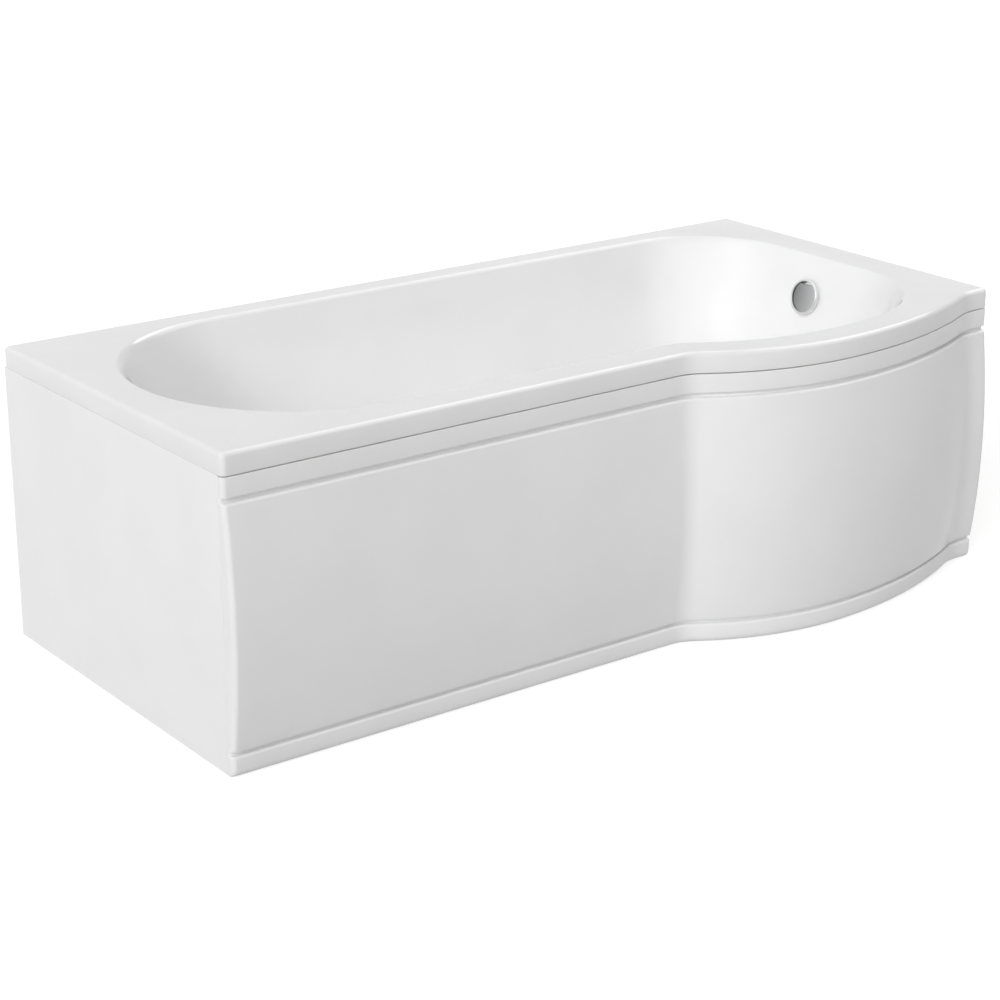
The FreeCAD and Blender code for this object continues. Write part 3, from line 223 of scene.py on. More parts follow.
class LegSettings(bpy.types.PropertyGroup):
    """Levelling legs, their nuts and the screws under the bath."""
    rod_radius: length("Rod radius", 6, "Crest of the rod's thread")
    thread_pitch: length("Thread pitch", 1.75, "Rise of the thread in one turn")
    thread_depth: length("Thread depth", 0.9, "Crest to root of the thread")
    thread_run: length("Thread run-out", 1.5, "Length over which the thread fades at each end")
    leg_nut_radius: length("Nut radius", 10.5, "Corners of the leg nuts")
    leg_nut_bore: length("Nut bore", 6.06, "Hole through the leg nuts")
    nut_chamfer: length("Nut chamfer", 0.8, "Height of the cone that cuts a leg nut's corners")
    nut_crown: length("Nut crown", 1.4, "How far that cone widens")
    foot_radius: length("Foot radius", 25, "Foot pad on the floor")
    foot_rim: length("Foot rim", 6, "Height of the foot pad's edge")
    foot_hub: length("Foot hub", 12, "Radius of the foot pad's socket")
    foot_height: length("Foot height", 22, "Height of the foot pad")
    foot_socket: length("Foot socket", 8, "Floor of the socket that the rod stands in")
    foot_play: length("Foot play", 0.06, "Gap between the rod and its socket")
    foot_ease: length("Foot edge", 1.2, "Radius of the foot pad's edges")
    foot_rib_height: length("Foot rib height", 5, "Height of the ribs on the foot pad")
    foot_fillet: length("Foot fillet", 2, "Radius where the foot pad's socket meets its cone")
    foot_fade: length("Foot rib fade", 4, "Length over which the ribs fade at the foot pad's edge")
    foot_ribs: count("Foot ribs", 8, "Ribs on each foot pad")
    screw_radius: length("Screw", 2.4, "Shank of the screws")
    screw_head: length("Screw head", 4.6, "Radius of the screws' heads")
    screw_rise: length("Screw head height", 3, "Height of the screws' heads")
    screw_point: length("Screw point", 4, "Length of the screws' points")
    screw_dome: share("Screw dome", 0.45, "Height of a screw head's dome, as a share of the head's height")
    screw_fall: level("Screw fall", 2.2, "Power of the radius by which a screw head's dome falls")
    recess_width: share("Recess width", 0.13, "Half width of a screw's cross, as a share of the head's radius")
    recess_depth: share("Recess depth", 0.55, "Depth of a screw's cross, as a share of the head's height")


class FinishSettings(bpy.types.PropertyGroup):
    """Colours and gloss of the materials."""
    acrylic: colour("Acrylic", 0.89, 0.89, 0.89, "Formed white sheet")
    acrylic_gloss: share("Acrylic roughness", 0.045, "Roughness of the formed sheet")
    panel: colour("Panels", 0.905, 0.905, 0.905, "White panels")
    panel_gloss: share("Panel roughness", 0.10, "Roughness of the panels")
    glassfibre: colour("Glass fibre", 0.62, 0.58, 0.44, "Resin of the sprayed layer")
    strand: colour("Glass strands", 0.80, 0.78, 0.68, "Chopped strands in the sprayed layer")
    timber: colour("Timber", 0.62, 0.43, 0.24, "Early wood of the battens")
    timber_dark: colour("Timber rings", 0.42, 0.25, 0.12, "Late wood of the battens")
    board: colour("Board", 0.52, 0.38, 0.22, "Chips of the base board")
    board_dark: colour("Board flecks", 0.24, 0.15, 0.08, "Dark chips of the base board")
    zinc: colour("Zinc", 0.60, 0.61, 0.62, "Zinc-plated steel")
    black_plastic: colour("Black plastic", 0.022, 0.022, 0.024, "Feet and cable")
    black_gloss: share("Black plastic roughness", 0.42, "Roughness of the feet and cable")
    white_plastic: colour("White plastic", 0.76, 0.76, 0.74, "Clips, pipe and waste")
    white_gloss: share("White plastic roughness", 0.32, "Roughness of the clips, pipe and waste")
    chrome: colour("Chrome", 0.80, 0.805, 0.81, "Plated fittings")
    satin: colour("Satin", 0.46, 0.465, 0.47, "Brushed face of the overflow knob")
    brass: colour("Brass", 0.70, 0.50, 0.22, "Spindle, crank and stem")
    rubber: colour("Rubber", 0.03, 0.03, 0.03, "Seals and washers")


class StudioSettings(bpy.types.PropertyGroup):
    """Camera, lamps and floor."""
    camera_place: vector("Camera", (-2.6070, -3.4084, 1.7211), "XYZ", "Place of the camera")
    camera_down: angle("Camera tilt", 19.451, "How far the camera looks down")
    camera_turn: angle("Camera turn", -36.555, "Turn of the camera about the upright")
    camera_lens: level("Lens", 87.49, "Focal length in millimetres")
    camera_frame: level("Frame", 36, "Width of the camera's frame in millimetres")
    sky_light: level("Sky", 0.40, "Even light from all round")
    key_light: level("Key", 1.84, "Strength of the soft lamp beyond the head end")
    key_way: vector("Key from", (-0.77, -0.455, 0.45), "DIRECTION", "Where that lamp shines from")
    key_spread: angle("Key spread", 36, "How wide that lamp looks from the bath")
    corner_light: level("Corner sheen", 0.18, "Strength of the lamp beyond the head end that only gloss shows")
    corner_way: vector("Corner sheen from", (-0.90, -0.16, 0.42), "DIRECTION",
                       "Where that lamp shines from, into the tub's far corner")
    corner_spread: angle("Corner sheen spread", 46, "How wide that lamp looks from the bath")
    edge_light: level("Edge sheen", 0.62, "Strength of the lamp high over the front that only gloss shows")
    edge_way: vector("Edge sheen from", (0.61, -0.28, 0.71), "DIRECTION",
                     "Where that lamp shines from, along the rim and the grooves")
    edge_spread: angle("Edge sheen spread", 56, "How wide that lamp looks from the bath")
    sheen_steps: count("Sheen steps", 3, "Lamps inside each other that soften the edge of a sheen")
    back_light: level("Back", 0.70, "Strength of the lamp high behind the tap end")
    back_way: vector("Back from", (0.62, 0.38, 0.68), "DIRECTION", "Where that lamp shines from")
    back_spread: angle("Back spread", 30, "How wide that lamp looks from the bath")
    tub_light: level("Tub lamp", 0.40, "Power of the lamp over the tub, in watts")
    tub_lamp_place: length("Tub lamp place", -60, "Middle of the lamp over the tub, along the bath")
    tub_lamp_height: length("Tub lamp height", 1900, "Height of the lamp over the tub")
    tub_lamp_length: length("Tub lamp length", 780, "Length of the lamp over the tub")
    tub_lamp_width: length("Tub lamp width", 160, "Width of the lamp over the tub")
    tub_lamp_spread: angle("Tub lamp spread", 24, "How wide the beam of the lamp over the tub opens")
    floor_colour: colour("Floor", 0.50, 0.50, 0.50, "Pale floor")
    floor_lift: level("Floor lift", 0.68, "Brings the open floor up to white for the camera")
    floor_size: length("Floor size", 60000, "Side of the floor")


SETTINGS = {
    "bath_rim": RimSettings, "bath_tub": TubSettings, "bath_panels": PanelSettings,
    "bath_fittings": FittingSettings, "bath_legs": LegSettings, "bath_finish": FinishSettings,
    "bath_studio": StudioSettings,
}


def measures(scene):
    """All sizes in metres, with the places that follow from them."""
    m = SimpleNamespace()
    for group in ("bath_rim", "bath_tub", "bath_panels", "bath_fittings", "bath_legs"):
        for name in SETTINGS[group].__annotations__:
            setattr(m, name, getattr(getattr(scene, group), name))
    m.head_face, m.tap_face = -m.bath_length / 2, m.bath_length / 2
    m.back_face = m.front_face + m.end_width
    m.rim_under, m.skirt_foot = m.rim_height - m.shell_wall, m.rim_height - m.skirt_depth
    m.radius_in = (m.bulge_run_in ** 2 + m.bulge_depth ** 2) / (2 * m.bulge_depth)
    m.radius_out = (m.bulge_run_out ** 2 + m.bulge_depth ** 2) / (2 * m.bulge_depth)
    m.bulge_end = m.tap_face - m.bulge_tap_flat
    m.bulge_peak = m.bulge_end - math.sqrt(
        m.bulge_depth * (2 * (m.radius_out + m.bulge_blend_out) - m.bulge_depth))
    m.bulge_start = m.bulge_peak - math.sqrt(
        m.bulge_depth * (2 * (m.radius_in + m.bulge_blend_in) - m.bulge_depth))
    m.floor_top = m.rim_height - m.tub_depth
    m.tub_middle = (m.front_face + m.rim_front + m.back_face - m.rim_back) / 2
    floor_tap = m.tap_face - m.rim_tap - m.tub_depth * math.tan(m.tap_slope) \
        - m.floor_blend * math.tan((math.pi / 2 - m.tap_slope) / 2)
    m.waste_x = floor_tap - m.waste_setback
    m.overflow_z = m.rim_height - m.overflow_drop
    m.overflow_x = m.tap_face - m.rim_tap - m.overflow_drop * math.tan(m.tap_slope)
    m.flange_top = m.floor_top + m.flange_seat + m.flange_height
    return m


# Curves of the plan

def spot(x, y):
    """Points of a plan, one for each level, ready to be combined with places along a curve."""
    return np.stack(np.broadcast_arrays(np.atleast_1d(x), np.atleast_1d(y)), -1)[:, None, :]


def straight(start, end):
    """A straight line: its start plus a share of the way to its end."""
    return lambda part: start + (end - start) * part


def arc(start, end, centre):
    """The short circular arc between two points about a centre: its bearing changes evenly."""
    first, last = start - centre, end - centre
    radius = np.linalg.norm(first, axis=-1, keepdims=True)
    bearing = np.arctan2(first[..., 1:], first[..., :1])
    sweep = (np.arctan2(last[..., 1:], last[..., :1]) - bearing + np.pi) % (2 * np.pi) - np.pi

    def at(part):
        way = bearing + sweep * part
        return centre + radius * np.concatenate([np.cos(way), np.sin(way)], -1)
    return at


def quarter_oval(start, corner, end):
    """A quarter of an ellipse that leaves its start towards the corner and ends square to that."""
    middle = start + end - corner
    return lambda part: (
        middle + (start - middle) * np.cos(part * np.pi / 2) + (end - middle) * np.sin(part * np.pi / 2))


def along(curves, places):
    """Points on joined curves: a place's whole number picks the curve, its fraction the way along it."""
    number = np.floor(places).astype(int)
    part = (places - number)[:, None]
    every = np.stack([curve(part) for curve in curves])
    return every[number % len(curves), :, np.arange(len(places))].swapaxes(0, 1)


def bulged_front(m, inset):
    """Four arcs of the bulge from the tap side to the head side, at insets from the rim's face.

    Two arcs meet at the peak, and a hollow arc leads each into the straight front. All insets share centres.
    """
    inset = np.atleast_1d(inset)
    peak = spot(m.bulge_peak, m.front_face - m.bulge_depth + inset)
    sides = []
    for foot_x, radius, blend in (
        (m.bulge_end, m.radius_out, m.bulge_blend_out), (m.bulge_start, m.radius_in, m.bulge_blend_in),
    ):
        centre = spot(m.bulge_peak, m.front_face - m.bulge_depth + radius)
        hollow = spot(foot_x, m.front_face - blend)
        way = (hollow - centre) / np.linalg.norm(hollow - centre)
        meeting = centre + way * (radius - inset)[:, None, None]
        foot = spot(foot_x, m.front_face + inset)
        sides.append((arc(foot, meeting, hollow), arc(meeting, peak, centre),
                      arc(peak, meeting, centre), arc(meeting, foot, hollow)))
    return [sides[0][0], sides[0][1], sides[1][2], sides[1][3]]


def rim_plan(m, inset):
    """The rim's outline at insets: back, tap end, front with its bulge, head end, with round corners."""
    inset = np.atleast_1d(inset)
    left, right = m.head_face + inset, m.tap_face - inset
    front, back = m.front_face + inset, m.back_face - inset
    c = np.maximum(m.rim_corner - inset, m.rim_corner / 10)
    return [
        straight(spot(left + c, back), spot(right - c, back)),
        arc(spot(right - c, back), spot(right, back - c), spot(right - c, back - c)),
        straight(spot(right, back - c), spot(right, front + c)),
        arc(spot(right, front + c), spot(right - c, front), spot(right - c, front + c)),
        straight(spot(right - c, front), spot(m.bulge_end, front)),
        *bulged_front(m, inset),
        straight(spot(m.bulge_start, front), spot(left + c, front)),
        arc(spot(left + c, front), spot(left, front + c), spot(left + c, front + c)),
        straight(spot(left, front + c), spot(left, back - c)),
        arc(spot(left, back - c), spot(left + c, back), spot(left + c, back - c)),
    ]


def corner_share(m, z):
    """Size of the tub's corners at levels: full at the rim, and less towards the floor."""
    return 1 - (1 - m.corner_floor_share) * (m.rim_height - z) / m.tub_depth


def near_turn(m, tap, side, z):
    """The tub's corner by the bulge: its centre, where it meets the bulge, and the bulge's centre.

    Its arc touches the tap-end wall, and the bulge's larger arc from inside.
    """
    corner = m.near_corner * corner_share(m, z)
    radius = np.atleast_1d(m.radius_out - m.rim_front - side)
    centre = spot(m.bulge_peak, m.front_face - m.bulge_depth + m.radius_out)
    across = tap - corner - m.bulge_peak
    turn = spot(tap - corner, centre[:, 0, 1] - np.sqrt((radius - corner) ** 2 - across ** 2))
    way = (turn - centre) / np.linalg.norm(turn - centre, axis=-1, keepdims=True)
    return turn, centre + way * radius[:, None, None], centre


def tub_plan(m, head, tap, side, z):
    """The tub's outline at levels, from how far its head, tap and side walls have come in.

    Straight sides and tap end, round corners, the bulge drawn in, and two quarter ovals at the head.
    """
    head, tap = m.head_face + m.rim_head + head, m.tap_face - m.rim_tap - tap
    near, far = m.front_face + m.rim_front + side, m.back_face - m.rim_back - side
    middle = (near + far) / 2
    nose = head + m.head_curve * (far - near) / (m.end_width - m.rim_front - m.rim_back)
    c = m.far_corner * corner_share(m, z)
    _, _, left, hollow = bulged_front(m, m.rim_front + side)
    turn, meeting, centre = near_turn(m, tap, side, z)
    turned_in = spot(tap, turn[:, 0, 1])
    return [
        straight(spot(nose, far), spot(tap - c, far)),
        arc(spot(tap - c, far), spot(tap, far - c), spot(tap - c, far - c)),
        straight(spot(tap, far - c), turned_in),
        arc(turned_in, meeting, turn),
        arc(meeting, spot(m.bulge_peak, near - m.bulge_depth), centre),
        left,
        hollow,
        straight(spot(m.bulge_start, near), spot(nose, near)),
        quarter_oval(spot(nose, near), spot(head, near), spot(head, middle)),
        quarter_oval(spot(head, middle), spot(head, far), spot(nose, far)),
    ]


# Places round the tub: 10 curves, with more places where the rim outside turns a corner
CORNERS = (1.5, 3.4, 8.5, 9.5)
CORNER_SPAN = 0.04
# Places on the tub's near corner that face the end of the rim's short flat and of its hollow
FLAT_END, HOLLOW_END = 3.6, 3.85
TUB_STEPS = (16, 26, 10, 26, 30, 26, 18, 16, 44, 44)


def even_places(steps):
    """Places along joined curves, each curve divided evenly into its own number of steps."""
    return np.concatenate([number + np.arange(step) / step for number, step in enumerate(steps)])


def tub_places():
    """Places round the tub's outline, closer together where the rim outside turns a corner."""
    turns = [corner + CORNER_SPAN * np.linspace(-1, 1, 11) for corner in CORNERS]
    return np.unique(np.round(np.concatenate([even_places(TUB_STEPS), *turns]), 6))


def rim_places(m, places):
    """The place on the rim's outline that faces each place round the tub's opening, between matched points."""
    c = m.rim_corner
    back_span, side_span = m.bath_length - 2 * c, m.end_width - 2 * c
    nose = m.head_face + m.rim_head + m.head_curve
    tap, far = m.tap_face - m.rim_tap, m.back_face - m.rim_back
    at_back = (nose - m.head_face - c) / back_span
    turn, meeting, centre = (point[0, 0] for point in near_turn(m, tap, 0, m.rim_height))
    start, met, peak = (math.atan2(*(point - centre)[::-1]) for point in (
        bulged_front(m, 0)[1](np.zeros((1, 1)))[0, 0], meeting, (m.bulge_peak, m.front_face - m.bulge_depth)))
    matched = [
        (0, at_back),
        (1, (tap - m.far_corner - m.head_face - c) / back_span),
        (CORNERS[0] - CORNER_SPAN, 1), (CORNERS[0] + CORNER_SPAN, 2),
        (2, 2 + (m.back_face - c - far + m.far_corner) / side_span),
        (3, 2 + (m.back_face - c - turn[1]) / side_span),
        (CORNERS[1] - CORNER_SPAN, 3), (CORNERS[1] + CORNER_SPAN, 4),
        (FLAT_END, 5), (HOLLOW_END, 6),
        (4, 6 + (met - start) / (peak - start)), (5, 7), (6, 8), (7, 9),
        (8, 9 + (m.bulge_start - nose) / (m.bulge_start - m.head_face - c)),
        (CORNERS[2] - CORNER_SPAN, 10), (CORNERS[2] + CORNER_SPAN, 11),
        (9, 11 + (m.tub_middle - m.front_face - c) / side_span),
        (CORNERS[3] - CORNER_SPAN, 12), (CORNERS[3] + CORNER_SPAN, 13),
        (10, 13 + at_back),
    ]
    return np.interp(places, *np.array(matched).T)


def wall_weights(places):
    """How much of each place belongs to the head, tap and side walls: corners pass smoothly between them."""
    rise = np.sin(np.clip(places, 1, 2) * np.pi / 2 - np.pi / 2) ** 2
    fall = np.sin(np.clip(places, 3, 4) * np.pi / 2 - 3 * np.pi / 2) ** 2
    tap = rise - fall
    head = np.sin((np.clip(places, 8, 10) - 8) * np.pi / 2) ** 2
    return head, tap, 1 - head - tap


def wall_line(m, lean, grow, shares, top):
    """Section of one wall, as how far it has come in and its height: a straight lean from a top height,
    then an arc into the floor. Shares up to 1 run down the straight part, and from 1 to 2 round the arc."""
    radius = m.floor_blend + grow
    bend = m.floor_top + m.floor_blend
    toe = m.tub_depth * math.tan(lean) + m.floor_blend * math.tan((math.pi / 2 - lean) / 2)
    down = np.clip(shares, 0, 1)
    z = top + (bend - radius * math.sin(lean) - top) * down
    inset = (m.rim_height - z) * math.tan(lean) - grow / math.cos(lean)
    turn = lean + (math.pi / 2 - lean) * (np.clip(shares, 1, 2) - 1)
    curved = shares > 1
    return np.where(curved, toe - radius * np.cos(turn), inset), \
        np.where(curved, bend - radius * np.sin(turn), z)


def opening_roll(m, radius, drop, lean, shares):
    """Section of the rounded edge into the tub: a quarter of an ellipse between the flat rim and the leaning
    wall, with one axis along the rim and the other down the wall."""
    reach = radius * math.tan((math.pi / 2 - lean) / 2)
    turn = math.pi / 2 * shares
    down = drop * (1 - np.cos(turn))
    return down * math.tan(lean) - reach * (1 - np.sin(turn)), m.rim_height - down


def raised(plan, z):
    """Points of a plan with their heights."""
    return np.concatenate([plan, np.broadcast_to(z, plan.shape[:2] + (1,))], -1)


def tub_rows(m, places, lines):
    """Rows of points round the tub from the (inset, height) lines of its head, tap and side walls."""
    (head, head_z), (tap, tap_z), (side, side_z) = lines
    plan = along(tub_plan(m, head, tap, side, side_z), places)
    weights = wall_weights(places)
    z = sum(np.outer(height, weight) for height, weight in zip((head_z, tap_z, side_z), weights))
    return raised(plan, z[..., None])


def wall_rows(m, places, grow, shares, top):
    """Rows of points round the tub's face moved outwards by a grown wall, from a top height to the floor."""
    return tub_rows(m, places, [
        wall_line(m, lean, grow, shares, top) for lean in (m.head_slope, m.tap_slope, m.side_slope)])


def hole_rows(m, edge, shares):
    """Rows that close the floor from its edge to the round waste hole, each point on its own bearing."""
    middle = np.array([m.waste_x, m.tub_middle])
    way = edge[:, :2] - middle
    rim = middle + way / np.linalg.norm(way, axis=-1, keepdims=True) * m.waste_hole
    return raised(edge[:, :2] + (rim - edge[:, :2]) * np.asarray(shares)[:, None, None], edge[:, 2:])


def rim_rows(m, places, inset, z):
    """Rows of points round the rim's outline at insets and heights."""
    return raised(along(rim_plan(m, inset), places), z[:, None, None])


def inner_tub_rows(m, places):
    """The tub's face from the flat rim down its rounded edge and walls to the floor."""
    roll = np.linspace(0, 1, 13)
    walls = np.concatenate([np.linspace(0, 1, 9)[1:], np.linspace(1, 2, 15)[1:]])
    lines = []
    for radius, drop, lean in (
        (m.opening_head, m.opening_head, m.head_slope), (m.opening_tap, m.opening_drop, m.tap_slope),
        (m.opening_edge, m.opening_edge, m.side_slope),
    ):
        edge = opening_roll(m, radius, drop, lean, roll)
        wall = wall_line(m, lean, 0, walls, edge[1][-1])
        lines.append(tuple(np.concatenate(pair) for pair in zip(edge, wall)))
    return tub_rows(m, places, lines)


# Meshes

SEAM = 2e-6  # Points closer than this become one
SLIVER = 1e-7  # Faces thinner than this go
SHARP = math.radians(35)  # Edges that turn more than this stay sharp
THREAD_SHARP, NUT_SHARP = math.radians(50), math.radians(28)  # The same on threads and on leg nuts
ARC_STEPS = 5  # Points on a rounded corner


def placed(scene, name, data):
    """A new object in the scene, at its origin."""
    thing = bpy.data.objects.new(name, data)
    scene.collection.objects.link(thing)
    return thing


def surface(points, wrap_rows=False, wrap_columns=False, caps=False):
    """A grid of points as a sheet of four-sided faces, joined round where it wraps.

    Where caps are asked for, one face closes each end that is left open.
    """
    rows, columns = points.shape[:2]
    i, j = np.meshgrid(
        np.arange(rows if wrap_rows else rows - 1), np.arange(columns if wrap_columns else columns - 1),
        indexing="ij")
    below, right = (i + 1) % rows, (j + 1) % columns
    faces = [np.stack(
        [i * columns + j, below * columns + j, below * columns + right, i * columns + right], -1).reshape(-1, 4)]
    if caps and wrap_rows:
        ends = np.arange(rows) * columns
        faces += [ends[None, :], (ends + columns - 1)[None, ::-1]]
    elif caps:
        ends = np.arange(columns)
        faces += [ends[None, ::-1], (ends + (rows - 1) * columns)[None, :]]
    return points.reshape(-1, 3), faces


def joined(points):
    """A grid of points as a sheet that meets itself both ways."""
    return surface(points, wrap_rows=True, wrap_columns=True)


def mesh_of(name, sheets, sharp):
    """One closed mesh from several sheets, merged at seams and poles, facing outwards, smooth but for edges
    sharper than an angle."""
    points = np.concatenate([sheet[0] for sheet in sheets])
    starts = np.cumsum([0] + [len(sheet[0]) for sheet in sheets])
    faces = [block + start for (_, blocks), start in zip(sheets, starts) for block in blocks]
    totals = np.concatenate([np.full(len(block), block.shape[1]) for block in faces])
    loops = np.concatenate([block.ravel() for block in faces])
    mesh = bpy.data.meshes.new(name)
    mesh.vertices.add(len(points))
    mesh.vertices.foreach_set("co", points.astype(np.float32).ravel())
    mesh.loops.add(len(loops))
    mesh.loops.foreach_set("vertex_index", loops.astype(np.int32))
    mesh.polygons.add(len(totals))
    mesh.polygons.foreach_set("loop_start", (np.cumsum(totals) - totals).astype(np.int32))
    mesh.update(calc_edges=True)
    work = bmesh.new()
    work.from_mesh(mesh)
    bmesh.ops.remove_doubles(work, verts=work.verts, dist=SEAM)
    bmesh.ops.dissolve_degenerate(work, edges=work.edges, dist=SLIVER)
    if work.calc_volume(signed=True) < 0:
        bmesh.ops.reverse_faces(work, faces=work.faces)
    work.to_mesh(mesh)
    work.free()
    mesh.polygons.foreach_set("use_smooth", np.ones(len(mesh.polygons), bool))
    mesh.set_sharp_from_angle(angle=sharp)
    mesh.update()
    return mesh


def add_piece(scene, name, sheets, finish, body, nodes, sharp=SHARP):
    """Puts a piece into the scene on its body, in place of the nodes that it stands for."""
    piece = placed(scene, name, mesh_of(name, sheets, sharp))
    piece.data.materials.append(material_of(scene, finish))
    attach(piece, body)
    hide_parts(*nodes)


def oblong(near, far, low, high):
    """Corners of an upright oblong between two places across and two up."""
    return [(near, low), (far, low), (far, high), (near, high)]


def rounded(corners, radii, steps=ARC_STEPS):
    """A closed outline with each corner replaced by an arc that touches both of its sides."""
    corners, radii = np.asarray(corners, float), np.broadcast_to(np.asarray(radii, float), len(corners))
    before, after = np.roll(corners, 1, 0) - corners, np.roll(corners, -1, 0) - corners
    before /= np.linalg.norm(before, axis=1, keepdims=True)
    after /= np.linalg.norm(after, axis=1, keepdims=True)
    half = np.arccos(np.clip((before * after).sum(1), -1, 1)) / 2
    reach = (radii / np.tan(half))[:, None]
    bisector = before + after
    size = np.linalg.norm(bisector, axis=1, keepdims=True)
    inwards = np.where(size > 1e-9, bisector / np.maximum(size, 1e-9), 0)
    centre = corners + inwards * (radii / np.sin(half))[:, None]
    first, last = corners + before * reach - centre, corners + after * reach - centre
    turn = np.maximum(np.pi - 2 * half, 1e-6)[:, None, None]
    part = np.linspace(0, 1, steps)[None, :, None]
    arcs = (first[:, None] * np.sin((1 - part) * turn) + last[:, None] * np.sin(part * turn)) / np.sin(turn)
    return (centre[:, None] + arcs).reshape(-1, 2)


def bearings(steps):
    """Even bearings once round the upright."""
    return np.linspace(0, 2 * np.pi, steps, endpoint=False)


def carried_round(radius, z, bearing):
    """Points round the upright: a radius times the bearing's cosine and sine, and a height."""
    return np.stack(np.broadcast_arrays(radius * np.cos(bearing), radius * np.sin(bearing), z), -1)


def turned(section, steps, closed=True):
    """A section of (radius, height) carried round the upright."""
    section = np.asarray(section, float)
    points = carried_round(section[:, :1], section[:, 1:], bearings(steps))
    return surface(points, wrap_rows=closed, wrap_columns=True)


def spokes(number, arm, low, high):
    """Flat arms at even bearings round the upright: an outline turned in plan, carried up between two heights."""
    heights = np.array([low, high])[:, None, None]
    turns = 2 * np.pi * np.arange(number) / number
    plans = [arm @ np.array([[cos, sin], [-sin, cos]]) for cos, sin in zip(np.cos(turns), np.sin(turns))]
    return [surface(raised(np.broadcast_to(plan, (2, *plan.shape)), heights), wrap_columns=True, caps=True)
            for plan in plans]


def moved(sheet, place, axes=None):
    """A sheet set at a place, with its own axes turned to the given columns."""
    points, faces = sheet
    return (points if axes is None else points @ np.asarray(axes).T) + np.asarray(place), faces


def at_overflow(m, *sheets):
    """Sheets set on the overflow's axes: up the tap-end wall, across it, and out of it into the tub."""
    sin, cos = math.sin(m.tap_slope), math.cos(m.tap_slope)
    axes = [[sin, 0, -cos], [0, 1, 0], [cos, 0, sin]]
    return [moved(sheet, (m.overflow_x, m.tub_middle, m.overflow_z), axes) for sheet in sheets]


def at_waste(m, *sheets):
    """Sheets set on the waste's upright axis."""
    return [moved(sheet, (m.waste_x, m.tub_middle, 0)) for sheet in sheets]


def corners_of(node):
    """The low and the high corner of a node's box."""
    return [np.array(corner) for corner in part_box(node)]


def points_of(node):
    """All points of a node's mesh."""
    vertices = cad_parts[node].data.vertices
    points = np.zeros(len(vertices) * 3)
    vertices.foreach_get("co", points)
    return points.reshape(-1, 3)


# Shader values

WHITE = (1, 1, 1, 1)


class Value:
    """A socket in a shader. Arithmetic on values adds Math nodes, and node() adds any other node."""

    def __init__(self, tree, socket=None):
        self.tree, self.socket = tree, socket

    def node(self, kind, settings=None, output=0, **inputs):
        """Adds a node: its settings first, then the values or links of its sockets."""
        node = self.tree.nodes.new(kind)
        for name, setting in (settings or {}).items():
            setattr(node, name, setting)
        for name, given in inputs.items():
            found = [socket for label in ("identifier", "name") for socket in node.inputs
                     if socket.enabled and getattr(socket, label).replace(" ", "_").lower() == name.lower()]
            if not found:
                raise KeyError(f"{kind} has no socket {name}")
            if isinstance(given, Value):
                self.tree.links.new(given.socket, found[0])
            else:
                found[0].default_value = given
        return Value(self.tree, node.outputs[output])

    def maths(self, operation, *values):
        """One Math node on one or two values."""
        inputs = dict(zip(("Value", "Value_001"), values))
        return self.node("ShaderNodeMath", {"operation": operation}, **inputs)

    def end(self, kind):
        """Leads this shader to the output of its material or world."""
        self.tree.links.new(self.socket, self.tree.nodes.new(kind).inputs["Surface"])

    def __add__(self, other):
        return self.maths("ADD", self, other)

    __radd__ = __add__

    def __sub__(self, other):
        return self.maths("SUBTRACT", self, other)

    def __rsub__(self, other):
        return self.maths("SUBTRACT", other, self)

    def __mul__(self, other):
        return self.maths("MULTIPLY", self, other)

    __rmul__ = __mul__

    def __pow__(self, other):
        return self.maths("POWER", self, other)

    def band(self, low, high):
        """0 below one value, 1 above another, with a straight rise between them."""
        return self.node("ShaderNodeMapRange", Value=self, From_Min=low, From_Max=high)

    def mix(self, first, second):
        """One colour where this value is 0 and another where it is 1."""
        return self.node("ShaderNodeMix", {"data_type": "RGBA"}, 2, Factor_Float=self,
                         A_Color=first if isinstance(first, Value) else (*first, 1),
                         B_Color=second if isinstance(second, Value) else (*second, 1))

    def scaled(self, x, y, z):
        """A place with each of its parts multiplied."""
        return self.node("ShaderNodeVectorMath", {"operation": "MULTIPLY"}, Vector=self, Vector_001=(x, y, z))

    def noise(self, scale, detail=2.0, roughness=0.5, distortion=0.0):
        """Soft noise between 0 and 1 at this place."""
        return self.node("ShaderNodeTexNoise", Vector=self, Scale=scale, Detail=detail, Roughness=roughness,
                         Distortion=distortion)

    def cells(self, scale):
        """How far a place is from the middle of its cell."""
        return self.node("ShaderNodeTexVoronoi", Vector=self, Scale=scale)

    def chips(self, scale):
        """One value for each cell, the red of the cell's chance colour."""
        tint = self.node("ShaderNodeTexVoronoi", output="Color", Vector=self, Scale=scale)
        return self.node("ShaderNodeSeparateColor", Color=tint)


def new_material(name):
    """An empty material and the place on its surface that its pattern follows."""
    material = bpy.data.materials.new(name)
    material.use_nodes = True
    material.node_tree.nodes.clear()
    return material, Value(material.node_tree).node("ShaderNodeTexCoord", output="Object")


def tone(rgb, factor):
    """A colour made darker or lighter by a factor."""
    return tuple(min(part * factor, 1.0) for part in rgb)


# Finishes, as what the shader's sockets get and a bump with its depth in metres

def glossy_white(place, rgb, roughness):
    """Formed acrylic: an even white, faintly cloudy, with a slight ripple in the gloss and fine wipe marks."""
    cloud = place.noise(6.0, 3.0)
    wipe = place.scaled(1, 1, 6).noise(45.0, 4.0, 0.6)
    ripple = place.noise(22.0)
    return dict(
        bump=(ripple, 0.00005), IOR=1.49,
        Base_Color=cloud.band(0.35, 0.65).mix(tone(rgb, 0.985), tone(rgb, 1.01)),
        Roughness=wipe.band(0.3, 0.75) * 0.03 + (roughness - 0.015))


